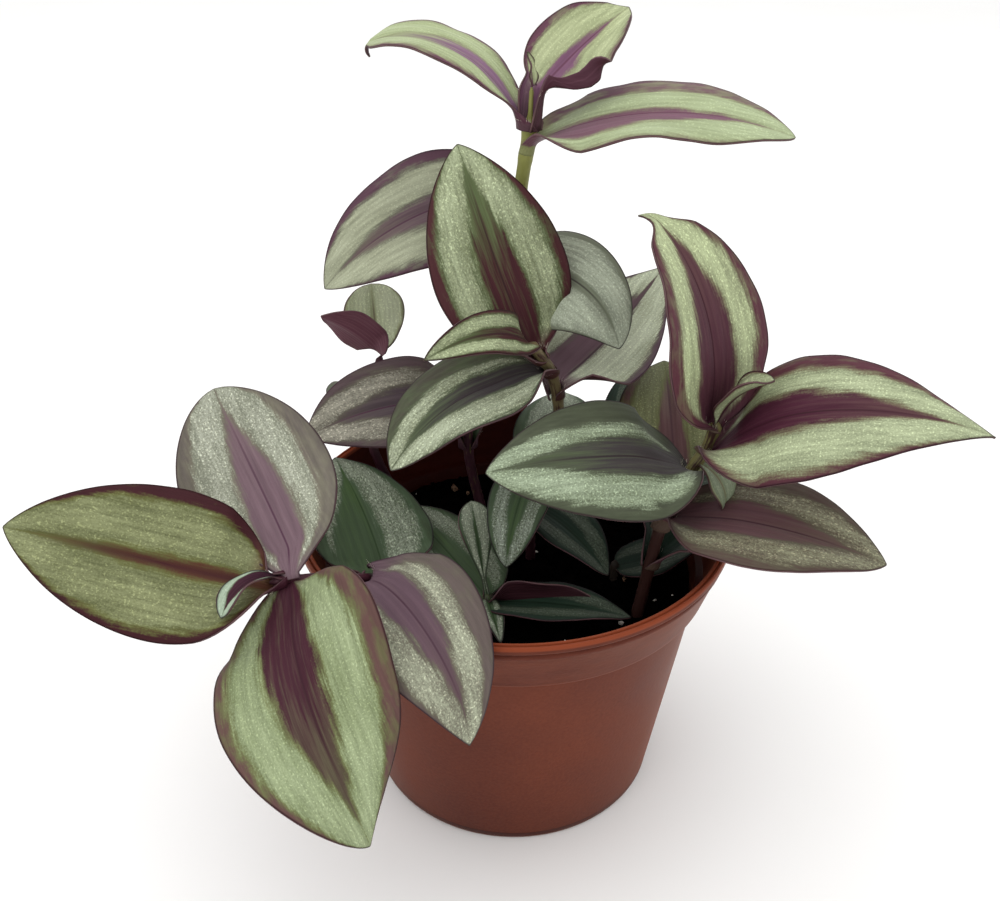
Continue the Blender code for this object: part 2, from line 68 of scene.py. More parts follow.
# how far up its stem each leaf sits, heading, rise, length, width, then where it differs from leafBase
# hooks, folds, lobes and shifts are the finer blade's own; knot is the stem's joint under a moved sheath
leaves = dict(
    a1=leafAt(106.5, 153, 51, 43.5, 21.5, sheath=2.5, sweep=8, droop=75, curl=20, roll=3, twist=20, cup=8,
              taper=0.72, shoulder=0.75, hook=110, ring=0.9, shift=(0, 0, 1.4)),
    a2=leafAt(112, 45, 33, 31, 20, knot=109.1, sheath=8, droop=15, roll=-20, cup=50, ring=0.78, foldAt=0.68,
              foldTo=0.43, lobeSide=1, lobeLift=(0.5, 0, -2.3)),
    a3=leafAt(101.5, -10, 27, 56, 29, droop=48, roll=-12, cup=5, taper=0.7, ring=0.35, wave=-1.3,
              waveSide=1, ripples=1.7),
    a4=leafAt(88.5, 178, -6, 49, 27, sheath=4, sweep=8, droop=46, roll=48, shift=(-0.5, 0, 0.9)),
    a5=leafAt(67.3, -33, 44, 39, 25, sheath=4, droop=124, roll=-45, cup=-8, skew=0.14,
              shift=(-1.8, 0, 1.6)),
    a6=leafAt(34.5, 200, 15, 40, 26, sheath=4, sweep=5, droop=36, roll=32, cup=12),
    a7=leafAt(60, 75, 10, 45, 27, sheath=4, droop=50),
    a8=leafAt(26, 95, 10, 43, 26, sheath=4, droop=40),
    b1=leafAt(61.5, 150, 66, 46, 31, sheath=2, sweep=-30, droop=10, roll=25, ring=0.6,
              shift=(-0.7, 0, 1.2)),
    b3=leafAt(56.5, 198, 12, 43, 26, sheath=2.5, sweep=25, droop=62, roll=8, cup=15, ring=0.6,
              shift=(1.6, 0, -1.6)),
    b5=leafAt(49.5, 52, 7, 45, 30, droop=-25, roll=-14, taper=0.9, shoulder=0.36, skew=-0.1, ring=0.6),
    b6=leafAt(20, 88, 12, 39, 24, sheath=4, droop=15),
    c1=leafAt(53.5, 132, 98, 49, 34, sheath=1.5, sweep=15, droop=68, cup=15, hook=60, hookFrom=0.88),
    c2=leafAt(47.8, -42, 50, 57.5, 30, sheath=2, sweep=35, droop=72, roll=-30, twist=25, cup=-10, taper=1.1,
              shoulder=0.52, shift=(0.5, 0, 1.7)),
    c3=leafAt(41.5, 212, 27, 45.5, 29, sweep=-35, droop=46, roll=31, cup=-10, shift=(0, 0, 1.2)),
    c4=leafAt(30, -32, 19, 45, 28, sheath=4, sweep=12, droop=36, roll=-11, taper=0.78, shift=(0, 0, 0.8)),
    c7=leafAt(35.5, 88, 24, 44, 26, droop=22, cup=15),
    c8=leafAt(19, 38, 25, 41, 25, droop=35),
    d1=leafAt(49, 190, 27, 52, 31, knot=47.1, sheath=3.5, sweep=-20, droop=21, roll=42, twist=10, cup=5,
              shoulder=0.47, ring=0.5, shift=(-0.8, 0, -0.6)),
    d2=leafAt(42, 115, 10.5, 47, 33, clasp=False, sweep=20, droop=-45, roll=18, cup=12, taper=0.6,
              shoulder=0.6, baseHalf=1.2, overStem=(-0.4, -4.0, 0), saddle=2.0),
    d3=leafAt(43, -90, 0, 58, 36, clasp=False, below=80, sweep=60, droop=73, roll=-20, twist=62,
              shoulder=0.5, overStem=(-1.0, 0, 1.4), lobeSide=-1, lobeHalf=11.0, lobeLift=(0, 1.5, 4.0)),
    d4=leafAt(27, -58, 35, 50, 28, sweep=15, droop=127, roll=-16, cup=-3, taper=0.95),
    d5=leafAt(12.5, 108, 27, 34, 29, sweep=20, roll=-8),
    e3=leafAt(32, 95, 5, 35, 24, droop=50))
# young leaves, fused to the ends of their stems
youngLeaves = dict(
    a0=leafAt(113, 150, 85, 7, 3.5, droop=10, cup=60),
    b0=leafAt(64.0, 240, 43, 36, 10.5, sweep=-20, droop=58, roll=50, cup=25),
    c0=leafAt(52.5, -45, 78, 19, 10, sweep=15, droop=55, cup=50, shoulder=1.3),
    c1=leafAt(43.2, -35, 0, 13.5, 8.5, droop=105, shoulder=1.1),
    d0=leafAt(46.5, 218, 45, 17, 6, knot=48.2, sweep=30, droop=95, cup=55, shoulder=1.3),
    e0=leafAt(47.5, 93, 35, 18.5, 16, sweep=20, droop=-55, cup=20, taper=0.5, shoulder=0.8,
              shift=(-1.6, 0, -0.8)),
    e1=leafAt(46.5, 195, 55, 19, 12, droop=30, roll=-65, cup=30),
    g0=leafAt(8.0, 127, 15, 36, 23, droop=10),
    g1=leafAt(8.5, 110, 60, 22, 8.5, cup=30, taper=0.7, shoulder=2.2),
    g2=leafAt(6.5, -14, 15, 33, 14, droop=22, cup=15),
    g3=leafAt(7.5, -5, 8, 24, 10, droop=5, roll=80, cup=15),
    g4=leafAt(8.0, -75, 0, 13, 5, droop=25, cup=30),
    h0=leafAt(6.0, 6, 14, 21, 15),
    j0=leafAt(15.5, 15, 52, 32, 20, droop=60),
    j1=leafAt(16.5, 72, 55, 35, 22, droop=65),
    k0=leafAt(31.5, 252, 0, 25, 14, droop=75, cup=15),
    k1=leafAt(21.0, -45, 5, 26, 15, droop=45, cup=15))

sheathPlan = dict(gap=0.3, spare=0.05, cadThickness=0.7, flatAngle=25, footWrap=166, mouthWrap=118,
                  flare=0.35, setback=0.5, footPlace=-0.1, bladeFrom=0.04, unrollFrom=75, unrollBy=0.2,
                  insertedRows=(5, 5))
stalkPlan = dict(halfWidth=2.0, widening=78.0, easing=4.0, easeBy=0.1, station=0.02, start=0.42)
bladePlan = dict(rows=58, columns=32, youngRows=34, youngColumns=16, rowPacking=1.25, columnPacking=1.12,
                 pathSteps=40, flatTip=0.12, tipHalf=0.14, thickness=0.42, youngThickness=0.36, youngBase=0.7,
                 youngRelief=0.5, rollBy=0.2, curlFrom=0.7, pleat=0.09, pleats=5, grooveDepth=0.42,
                 grooveWidth=0.75, pillow=0.55, wavePhase=2.0, fineWave=0.48, fineAlong=0.16, fineAcross=0.8,
                 lobeFull=1.1, hookSlim=0.6, foldTurn=155, foldFade=0.17, foldLift=0.5, foldBend=0.6)
# where a blade's special forms set in and over how far, as shares of its length
spans = dict(baseEnds=(0, 0.15), lobeWidens=(0, 0.2), lobeNarrows=(0.25, 0.2), lobeLifts=(0, 0.12),
             lobeSettles=(0.3, 0.2), hookNarrows=(-0.06, 0.1), foldStarts=(0, 0.06), saddleEnds=(0, 0.14),
             saddleClimbs=(0, 0.1), shifts=(0, 0.35))
bladeLayers = ("acrossMm", "marginMm", "alongMm")     # measures that the skins read
stemLayers = ("turnMm", "alongMm")


def smoothStep(t):
    t = max(0, min(1, t))
    return t * t * (3 - 2 * t)


def past(span, s):
    start, reach = spans[span]
    return smoothStep((s - start) / reach)


def unit(heading, rise):
    h, r = math.radians(heading), math.radians(rise)
    return Vector((math.cos(r) * math.cos(h), math.cos(r) * math.sin(h), math.sin(r)))


def catmull(a, b, c, d, t):
    straight, bent = (c - a) * t, (2 * a - 5 * b + 4 * c - d) * t * t
    return 0.5 * (2 * b + straight + bent + (3 * b - a - 3 * c + d) * t ** 3)


def stemLine(name, parts=4):
    known = [Vector(p) for p in stems[name]["points"]]
    padded = [2 * known[0] - known[1]] + known + [2 * known[-1] - known[-2]]
    line = []
    for a, b, c, d in zip(padded, padded[1:], padded[2:], padded[3:]):
        line += [catmull(a, b, c, d, k / parts) for k in range(parts)]
    return line + [known[-1]]


def alongLine(line, distance):
    for a, b in zip(line, line[1:]):
        step = (b - a).length
        if distance <= step:
            return a + (b - a) * (distance / step), (b - a).normalized()
        distance -= step
    direction = (line[-1] - line[-2]).normalized()
    return line[-1] + direction * distance, direction


def halfWidth(leaf, s):
    a, b = leaf["shoulder"], leaf["taper"]
    top = a / (a + b)
    return leaf["width"] / 2 * (s ** a) * ((1 - s) ** b) / ((top ** a) * ((1 - top) ** b))


def bladePath(leaf, start):
    path, point, steps = [], Vector(start), bladePlan["pathSteps"]
    curlFrom, hookFrom = bladePlan["curlFrom"], leaf["hookFrom"]
    for i in range(steps + 1):
        s = i / steps
        heading = leaf["heading"] + leaf["sweep"] * s
        curl = leaf["curl"] * max(0, (s - curlFrom) / (1 - curlFrom)) ** 2
        curl += leaf["hook"] * max(0, (s - hookFrom) / (1 - hookFrom))
        forward = unit(heading, leaf["rise"] - leaf["droop"] * s - curl)
        side = Vector((math.sin(math.radians(heading)), -math.cos(math.radians(heading)), 0))
        normal = side.cross(forward)
        roll = math.radians(leaf["roll"] + leaf["twist"] * (s - 0.5)) * min(1, s / bladePlan["rollBy"])
        path.append((point.copy(), side * math.cos(roll) + normal * math.sin(roll),
                     normal * math.cos(roll) - side * math.sin(roll)))
        point += forward * leaf["length"] / steps
    return path


def sideHalf(leaf, section, v):
    # half width on the side of v: a base lobe is broader, a hooked tip narrower
    half, s = section[3], section[5]
    half *= 1 + leaf["skew"] * math.copysign(1, v)
    if v * leaf["lobeSide"] > 0:
        half = max(half, leaf["lobeHalf"] * past("lobeWidens", s) ** 0.5 * (1 - past("lobeNarrows", s)))
    if leaf["hook"]:
        half *= 1 - bladePlan["hookSlim"] * past("hookNarrows", s - leaf["hookFrom"])
    return max(half, leaf["baseHalf"] * (1 - past("baseEnds", s)))


def pathAt(path, s):
    steps = len(path) - 1
    i = min(steps - 1, int(s * steps))
    t = s * steps - i
    near, far = path[i], path[i + 1]
    before = path[i - 1][0] if i else 2 * near[0] - far[0]
    after = path[i + 2][0] if i + 2 <= steps else 2 * far[0] - near[0]
    return (catmull(before, near[0], far[0], after, t),
            near[1].lerp(far[1], t).normalized(), near[2].lerp(far[2], t).normalized())


def bladeSections(path, first, rows, halfAt, cupAt):
    # rows are closer together towards the tip, where the outline turns fastest
    sections = []
    for i in range(rows + 1):
        s = first + (1 - first) * (1 - (1 - i / rows) ** bladePlan["rowPacking"])
        half = max(bladePlan["tipHalf"], halfAt(s))
        sections.append((*pathAt(path, s), half, cupAt(s) * min(1, (1 - s) / bladePlan["flatTip"]), s))
    return sections


def stalkSections(stem, leaf):
    plan = stalkPlan
    node, axis = alongLine(stemLine(stem), leaf["up"])
    forward = unit(leaf["heading"], leaf["rise"])
    level = (forward - axis * forward.dot(axis)).normalized()
    under = axis.cross(level) * math.copysign(1, -axis.cross(level).z)
    below = math.radians(leaf["below"])
    outward = level * math.cos(below) + under * math.sin(below)
    start = node + outward * (stems[stem]["radius"] + sheathPlan["gap"] + plan["start"])
    path = bladePath(leaf, start)
    along = axis * math.copysign(1, axis.dot(pathAt(path, 0)[1]))

    def halfAt(s):
        # widens evenly from the stalk and eases into the blade's own width
        widest = plan["halfWidth"] + plan["widening"] * max(0, s - plan["station"])
        full, easing = halfWidth(leaf, s), plan["easing"]
        overlap = max(0, easing - abs(widest - full))
        eased = min(widest, full) - overlap ** 2 / (4 * easing) * min(1, s / plan["easeBy"])
        return max(eased, plan["halfWidth"] * (1 - s) ** 3)

    foot = (start, along, along.cross(level), plan["halfWidth"], 0, 0)
    return [foot] + bladeSections(path, plan["station"], bladePlan["rows"], halfAt, lambda s: leaf["cup"])


def claspSections(stem, leaf):
    plan = sheathPlan
    line = stemLine(stem)
    mouth, direction = alongLine(line, leaf["up"])
    foot, footDirection = alongLine(line, leaf["up"] - leaf["sheath"])
    radius = stems[stem]["radius"] * leaf["ring"] + plan["gap"] + plan["spare"] + plan["cadThickness"] / 2
    radius /= math.cos(math.radians(plan["flatAngle"]))
    flared = radius + plan["flare"]
    baseNormal = pathAt(bladePath(leaf, mouth), 0)[2]
    outward = unit(leaf["heading"], leaf["rise"])
    lip = mouth - direction * plan["setback"]
    rings = ((foot, footDirection, radius, plan["footWrap"], plan["footPlace"]),
             (lip, direction, flared, plan["mouthWrap"], 0.0))
    sections = []
    for centre, axis, ringRadius, wrap, s in rings:
        facing = 2 * outward.dot(axis) * baseNormal - outward
        normal = (facing - axis * facing.dot(axis)).normalized()
        sections.append((centre - normal * ringRadius, axis.cross(normal), normal,
                         ringRadius * math.radians(wrap), wrap, s))
    path = bladePath(leaf, mouth - sections[-1][2] * flared)

    def cupAt(s):
        return leaf["cup"] + (plan["unrollFrom"] - leaf["cup"]) * max(0, 1 - s / plan["unrollBy"]) ** 2

    return sections + bladeSections(path, plan["bladeFrom"], bladePlan["rows"],
                                    lambda s: halfWidth(leaf, s), cupAt)


def youngSections(stem, leaf):
    path = bladePath(leaf, alongLine(stemLine(stem), leaf["up"])[0])
    narrow = stems[stem]["radius"] * bladePlan["youngBase"]
    return bladeSections(path, 0.0, bladePlan["youngRows"],
                         lambda s: max(halfWidth(leaf, s), narrow * (1 - s) ** 3), lambda s: leaf["cup"])


def sectionPoint(leaf, section, v, young):
    point, side, normal, half, cup, s = section
    plan, half = bladePlan, sideHalf(leaf, section, v)
    angle = math.radians(cup)
    across, lift = half * v, 0.0
    if abs(angle) > 0.001:
        across = half * math.sin(angle * v) / angle
        lift = half * (1 - math.cos(angle * v)) / angle
    spread = max(0, min(1, 4 * s * (1 - s)))
    if v * leaf["waveSide"] >= 0:
        phase = plan["wavePhase"] if v < 0 else 0.0
        lift += leaf["wave"] * math.sin(math.tau * leaf["ripples"] * s + phase) * v * v * spread
    waver = noise.noise(point * plan["fineAlong"] + side * v * plan["fineAcross"])
    lift += plan["fineWave"] * waver * v * v * spread
    size = plan["youngRelief"] if young else 1.0
    lift += size * plan["pillow"] * math.sin(math.pi * abs(v)) * spread
    lift += size * plan["pleat"] * math.cos(plan["pleats"] * math.pi * v) * spread
    lift -= size * plan["grooveDepth"] * math.exp(-(across / plan["grooveWidth"]) ** 2) * spread
    if "foldAt" in leaf:
        # one margin near the base is turned over the upper face and shows its purple side
        fold = smoothStep((leaf["foldTo"] - s) / plan["foldFade"]) * past("foldStarts", s)
        foldAt, bend = leaf["foldAt"], plan["foldBend"]
        stretch = 1 + fold * (1 / foldAt - 1)
        if v > foldAt:
            turn = math.radians(plan["foldTurn"]) * fold
            beyond = (v - foldAt) * half
            across = across * foldAt / v * stretch + beyond * math.cos(turn)
            lift += beyond * math.sin(turn) + plan["foldLift"] * fold
        elif v > 0:
            across *= stretch
            lift += plan["foldLift"] * fold * smoothStep((v / foldAt - bend) / (1 - bend))
    place = point + side * across + normal * lift
    if v * leaf["lobeSide"] > 0:
        window = past("lobeLifts", s) * (1 - past("lobeSettles", s))
        place += Vector(leaf["lobeLift"]) * (window * smoothStep(abs(v) * plan["lobeFull"]))
    if "overStem" in leaf:
        # the base saddles the stem: it starts on the near side and climbs over
        near = 1 - past("saddleEnds", s)
        place += Vector(leaf["overStem"]) * near
        place.z += leaf["saddle"] * near * past("saddleClimbs", s)
    return place + Vector(leaf["shift"]) * past("shifts", s)


def rowsBetween(before, start, end, after, count):
    return [[catmull(*points, k / count) for points in zip(before, start, end, after)] for k in range(count)]


def bladePiece(name, leaf, sections, columns, materials, young=False, clasp=False):
    # columns are finer beside the midrib
    spread = [2 * j / columns - 1 for j in range(columns + 1)]
    spread = [math.copysign(abs(v) ** bladePlan["columnPacking"], v) for v in spread]
    rows = [[sectionPoint(leaf, section, v, young) for v in spread] for section in sections]
    places, halves = [section[5] for section in sections], [section[3] for section in sections]
    if clasp:
        # rows between the sheath's foot, its mouth and the blade
        counts = sheathPlan["insertedRows"]
        outer = [2 * a - b for a, b in zip(rows[0], rows[1])]
        places, halves = spacedOut(places, counts), spacedOut(halves, counts)
        rows = (rowsBetween(outer, rows[0], rows[1], rows[2], counts[0])
                + rowsBetween(rows[0], rows[1], rows[2], rows[5], counts[1]) + rows[2:])
    last = len(rows) - 1
    bm = bmesh.new()
    bmesh.ops.create_grid(bm, x_segments=columns, y_segments=last, size=1)
    uvLayer = bm.loops.layers.uv.new("leafUv")
    acrossLayer, marginLayer, alongLayer = (bm.verts.layers.float.new(key) for key in bladeLayers)
    where = {}
    for vert in bm.verts:
        i, j = round((vert.co.y + 1) / 2 * last), round((vert.co.x + 1) / 2 * columns)
        where[vert.index] = (0.5 + spread[j] / 2, places[i])
        vert[acrossLayer] = spread[j] * halves[i]
        vert[marginLayer] = (1 - abs(spread[j])) * halves[i]
        vert[alongLayer] = places[i] * leaf["length"]
        vert.co = rows[i][j] * mm
    for face in bm.faces:
        face.smooth = True
        for loop in face.loops:
            loop[uvLayer].uv = where[loop.vert.index]
    piece = meshPiece(name, bm, materials)
    shell = piece.modifiers.new("bladeThickness", "SOLIDIFY")
    shell.thickness = (bladePlan["youngThickness"] if young else bladePlan["thickness"]) * mm
    shell.offset = 0
    shell.material_offset = 1
    shell.material_offset_rim = 2
    return piece


def spacedOut(values, counts):
    steps = [(a, b - a, count) for a, b, count in zip(values, values[1:], counts)]
    return [a + rise * (k / count) for a, rise, count in steps for k in range(count)] + values[2:]


def meshPiece(name, bm, materials):
    mesh = bpy.data.meshes.new(name)
    bm.to_mesh(mesh)
    bm.free()
    piece = bpy.data.objects.new(name, mesh)
    bpy.context.scene.collection.objects.link(piece)
    for material in materials:
        mesh.materials.append(material)
    return piece


# finishes
def linear(code):
    channels = [int(code[i:i + 2], 16) / 255 for i in (0, 2, 4)]
    return [c / 12.92 if c <= 0.04045 else ((c + 0.055) / 1.055) ** 2.4 for c in channels] + [1.0]


def feed(node, inputs):
    # values or links for a node's inputs, by name or number or in their order
    for key, value in inputs.items() if isinstance(inputs, dict) else enumerate(inputs):
        if isinstance(value, bpy.types.NodeSocket):
            node.id_data.links.new(value, node.inputs[key])
        else:
            node.inputs[key].default_value = value


def addNode(tree, kind, inputs=(), out=0, **settings):
    node = tree.nodes.new("ShaderNode" + kind)
    for key, value in settings.items():
        setattr(node, key, value)
    feed(node, inputs)
    return node.outputs[out]


def newMaterial(name, **settings):
    material = bpy.data.materials.new(name)
    material.use_nodes = True
    shader = material.node_tree.nodes["Principled BSDF"]
    feed(shader, settings)
    return material, shader, partial(addNode, material.node_tree)


def newGroup(name, inputs, outputs):
    tree = bpy.data.node_groups.new(name, "ShaderNodeTree")
    for way, sockets in (("INPUT", inputs), ("OUTPUT", outputs)):
        for key, kind in sockets.items():
            tree.interface.new_socket(key, in_out=way, socket_type="NodeSocket" + kind)
    given, result = tree.nodes.new("NodeGroupInput").outputs, tree.nodes.new("NodeGroupOutput")
    return tree, given, result, partial(addNode, tree)


maths, mixing, ranging = "Math", "Mix", "MapRange"
times, timesPlus = dict(operation="MULTIPLY"), dict(operation="MULTIPLY_ADD")
plus, minus, unsigned = dict(operation="ADD"), dict(operation="SUBTRACT"), dict(operation="ABSOLUTE")
tinted = dict(out=2, data_type="RGBA")     # settings that make a mix one of colours
softly = dict(interpolation_type="SMOOTHSTEP")
waxy = {"IOR": 1.42, "Specular IOR Level": 0.16}
perMm = 1000.0     # noise scales are given as grains per millimetre


def shadeStops(ramp, stops):
    # grey stops, eased between them
    ramp.interpolation = "EASE"
    while len(ramp.elements) > 1:
        ramp.elements.remove(ramp.elements[-1])
    ramp.elements[0].position, ramp.elements[0].color = stops[0][0], [stops[0][1]] * 3 + [1]
    for place, value in stops[1:]:
        ramp.elements.new(place).color = [value] * 3 + [1]


def drawnNoise(add, across, along, steps, layer=0.0, seed=0.0, **settings):
    # noise with grains of so many millimetres across and along
    x = add(maths, (across, 1 / steps[0], layer), **timesPlus)
    y = add(maths, (along, 1 / steps[1]), **times)
    place = add("CombineXYZ", (x, y, seed))
    return add("TexNoise", {"Vector": place, "Scale": 1.0, **settings})


upperColours = ("silver", "silverDeep", "leaf", "band", "bandTip", "margin", "edge", "rib", "base")
upperFloats = ("bandWidth", "marginWidth", "lean", "tilt", "grain", "green", "ribReach", "seed")
seedStep = 3.7     # how far apart two leaves' noises lie
# how wide the band down the middle and the margins are along the blade, as shares of their full widths
bandStops = ((0.0, 1.0), (0.1, 0.75), (0.3, 0.62), (0.5, 0.52), (0.7, 0.34), (0.85, 0.12), (0.93, 0.0))
marginStops = ((0.0, 1.0), (0.12, 0.85), (0.5, 0.8), (0.8, 0.65), (0.95, 0.3), (1.0, 0.1))
veinTurns = 44.0     # parallel veins run from base to tip, seven a side
# millimetres across and along the blade, layer, detail and roughness of each of the leaf's noises
upperNoises = dict(
    streak=((0.7, 16.0), 0.0, 5.0, 0.65),      # drawn out along the parallel veins
    fine=((0.3, 0.42), 17.0, 1.0, 0.6),        # epidermis cells, three times life size so that they show
    # painted glints: the peaks of this noise become bright specks painted into the silver stripes
    paintedGlintNoise=((0.36, 0.45), 31.0, 0.0, 0.5),      # the few cells that mirror the light
    broad=((5.0, 12.0), 53.0, 2.0, 0.55),
    blotch=((2.2, 6.0), 71.0, 3.0, 0.6))


def upperPattern():
    # Two silvered stripes, whose raised cells scatter light, on a band and margins coloured by anthocyanin.
    tree, given, result, add = newGroup(
        "silverStripePattern",
        {**dict.fromkeys(upperColours, "Color"), **dict.fromkeys(upperFloats, "Float")},
        dict(Color="Color", Roughness="Float", Normal="Vector"))
    uv = add("UVMap", uv_map="leafUv")
    u, s = add("SeparateXYZ", (uv,)).node.outputs[:2]
    across, edgeGap, along = (add("Attribute", out="Fac", attribute_name=name) for name in bladeLayers)
    v = add(maths, (u, 2.0, -1.0), **timesPlus)
    noises = {key: drawnNoise(add, across, along, steps, layer, given["seed"], Detail=detail, Roughness=rough)
              for key, (steps, layer, detail, rough) in upperNoises.items()}
    streak, fine, blotch = noises["streak"], noises["fine"], noises["blotch"]

    # how deep a spot lies inside a stripe, with an edge that wanders along the veins
    spare = add(maths, (1.0, s), **minus)
    shift = add(maths, (given["lean"], spare), **times)
    leaned = add(maths, (v, shift), **minus)
    away = add(maths, (leaned,), **unsigned)
    bandShape, marginShape = add("ValToRGB", (s,)), add("ValToRGB", (s,))
    shadeStops(bandShape.node.color_ramp, bandStops)
    shadeStops(marginShape.node.color_ramp, marginStops)
    band = add(maths, (bandShape, given["bandWidth"]), **times)
    margin = add(maths, (marginShape, given["marginWidth"]), **times)
    uneven = add(maths, (given["tilt"], v, 1.0), **timesPlus)
    margin = add(maths, (margin, uneven), **times)
    marginFrom = add(maths, (1.0, margin), **minus)
    pastBand = add(maths, (away, band), **minus)
    side = add(maths, (v,), **unsigned)
    beforeMargin = add(maths, (marginFrom, side), **minus)
    inside = add(maths, (pastBand, beforeMargin, 0.1), operation="SMOOTH_MIN")
    depth = inside
    for wander, share in ((streak, 0.2), (blotch, 0.2), (fine, 0.08)):
        depth = add(maths, (wander, share, depth), **timesPlus)
    depth = add(maths, (depth, 0.24), **minus)
    greenMask = add(ranging, (depth, -0.09, 0.02), **softly)
    stripe = add(ranging, (depth, -0.02, 0.08), **softly)
    outer = add(ranging, (beforeMargin, 0.12, -0.06), **softly)

    # between the stripes: the band, which changes colour towards the tip, and the blotched margins
    tipward = add(ranging, (s, 0.3, 0.85), **softly)
    streaked = add(maths, (streak, 2.4, -1.2), **timesPlus)
    tipward = add(maths, (tipward, streaked), use_clamp=True, **plus)
    bandSkin = add(mixing, {0: tipward, 6: given["band"], 7: given["bandTip"]}, **tinted)
    greened = add(ranging, (blotch, 0.35, 0.65, -0.45, 0.45))
    greened = add(maths, (greened, given["green"]), use_clamp=True, **plus)
    marginSkin = add(mixing, {0: greened, 6: given["margin"], 7: given["leaf"]}, **tinted)
    ground = add(mixing, {0: outer, 6: bandSkin, 7: marginSkin}, **tinted)
    ground = add(mixing, {0: greenMask, 6: ground, 7: given["leaf"]}, **tinted)

    # silver is brightest in the middle of a stripe, in streaks and fine grains
    tone = add(ranging, (inside, 0.04, 0.3, -0.85, -0.45))
    tone = add(maths, (streak, 1.0, tone), **timesPlus)
    tone = add(maths, (noises["broad"], 1.3, tone), **timesPlus)
    grained = add(maths, (fine, 2.4, -1.2), **timesPlus)
    tone = add(maths, (grained, given["grain"], tone), use_clamp=True, **timesPlus)
    silverSkin = add(mixing, {0: tone, 6: given["silverDeep"], 7: given["silver"]}, **tinted)
    colour = add(mixing, {0: stripe, 6: ground, 7: silverSkin}, **tinted)

    ribSide = add(maths, (across,), **unsigned)
    ribLine = add(ranging, (ribSide, given["ribReach"], 0.05), **softly)
    ribEnd = add(ranging, (s, 0.95, 0.55, 0.0, 0.8), **softly)
    ribMask = add(maths, (ribLine, ribEnd), **times)
    broken = add(maths, (streak, 2.0), **times)
    ribMask = add(maths, (ribMask, broken), use_clamp=True, **times)
    baseMask = add(ranging, (s, 0.1, 0.0, 0.0, 0.9), **softly)
    edgeMask = add(ranging, (edgeGap, 0.55, 0.08, 0.0, 0.9), **softly)
    for key, mask in (("rib", ribMask), ("base", baseMask), ("edge", edgeMask)):
        colour = add(mixing, {0: mask, 6: colour, 7: given[key]}, **tinted)

    veinTurn = add(maths, (v, veinTurns), **times)
    veins = add(maths, (veinTurn,), operation="COSINE")
    veinShade = add(ranging, (veins, -1.0, 1.0, 0.94, 1.04))
    streakShade = add(ranging, (streak, 0.3, 0.7, 0.88, 1.12))
    shade = add(maths, (veinShade, streakShade), **times)
    # painted glints: bright specks painted into the colour of the silver stripes, brighter with more grain
    paintedGlint = add(ranging, (noises["paintedGlintNoise"], 0.62, 0.76, 0.0, 0.9), **softly)
    paintedGlint = add(maths, (paintedGlint, stripe), **times)
    shade = add(maths, (paintedGlint, given["grain"], shade), **timesPlus)
    colour = add(mixing, {0: 1.0, 6: colour, 7: shade}, blend_type="MULTIPLY", **tinted)

    gloss = add(ranging, {0: stripe, 3: 0.46, 4: 0.36})
    gloss = add(maths, (fine, 0.2, gloss), **timesPlus)
    cellHeight = add(maths, (fine, given["grain"]), **times)
    height = add(maths, (veins, 0.3, cellHeight), **timesPlus)
    relief = add("Bump", {"Strength": 0.8, "Distance": 0.07 * mm, "Height": height})
    feed(result, {"Color": colour, "Roughness": gloss, "Normal": relief})
    return tree


def striped(name, look, pattern, seed):
    # living leaf, upper face: waxy cuticle over silvered cells, satin, with small glints painted into its
    # colour as bright specks
    material, shader, add = newMaterial("inchLeafUpper_" + name, **waxy)
    given = {key: linear(look.get(key, look["band"])) for key in upperColours}
    given.update({key: look[key] for key in upperFloats if key != "seed"})
    given["seed"] = seed * seedStep
    made = add("Group", given, node_tree=pattern).node.outputs
    feed(shader, {"Base Color": made["Color"], "Roughness": made["Roughness"], "Normal": made["Normal"]})
    return material


def underSkin(name, purple, veined, sheath):
    # living leaf, lower face: smooth cuticle, wine purple with paler veins, stem-coloured on the sheath
    material, shader, add = newMaterial("inchLeafUnder_" + name, Roughness=0.45, **waxy)
    uv = add("UVMap", uv_map="leafUv")
    u, s = add("SeparateXYZ", (uv,)).node.outputs[:2]
    across, _, along = (add("Attribute", out="Fac", attribute_name=name) for name in bladeLayers)
    streak = drawnNoise(add, across, along, (0.9, 14.0), Detail=4.0)
    veinTurn = add(maths, (u, 2 * veinTurns), **times)
    veins = add(maths, (veinTurn,), operation="COSINE")
    veinMask = add(ranging, (veins, 0.55, 1.0, 0.0, 0.3), **softly)
    cloud = add(ranging, (streak, 0.3, 0.75, 0.0, 0.45))
    faded = add(maths, (veinMask, cloud), use_clamp=True, **plus)
    colour = add(mixing, {0: faded, 6: linear(purple), 7: linear(veined)}, **tinted)
    low = add(ranging, (s, 0.04, -0.05), **softly)
    low = add(maths, (streak, 0.9, low), **timesPlus)
    low = add(ranging, (low, 0.75, 1.25), **softly)
    colour = add(mixing, {0: low, 6: colour, 7: linear(sheath)}, **tinted)
    height = add(maths, (veins, 0.5, streak), **timesPlus)
    relief = add("Bump", {"Strength": 0.7, "Distance": 0.06 * mm, "Height": height})
    feed(shader, {"Base Color": colour, "Normal": relief})
    return material


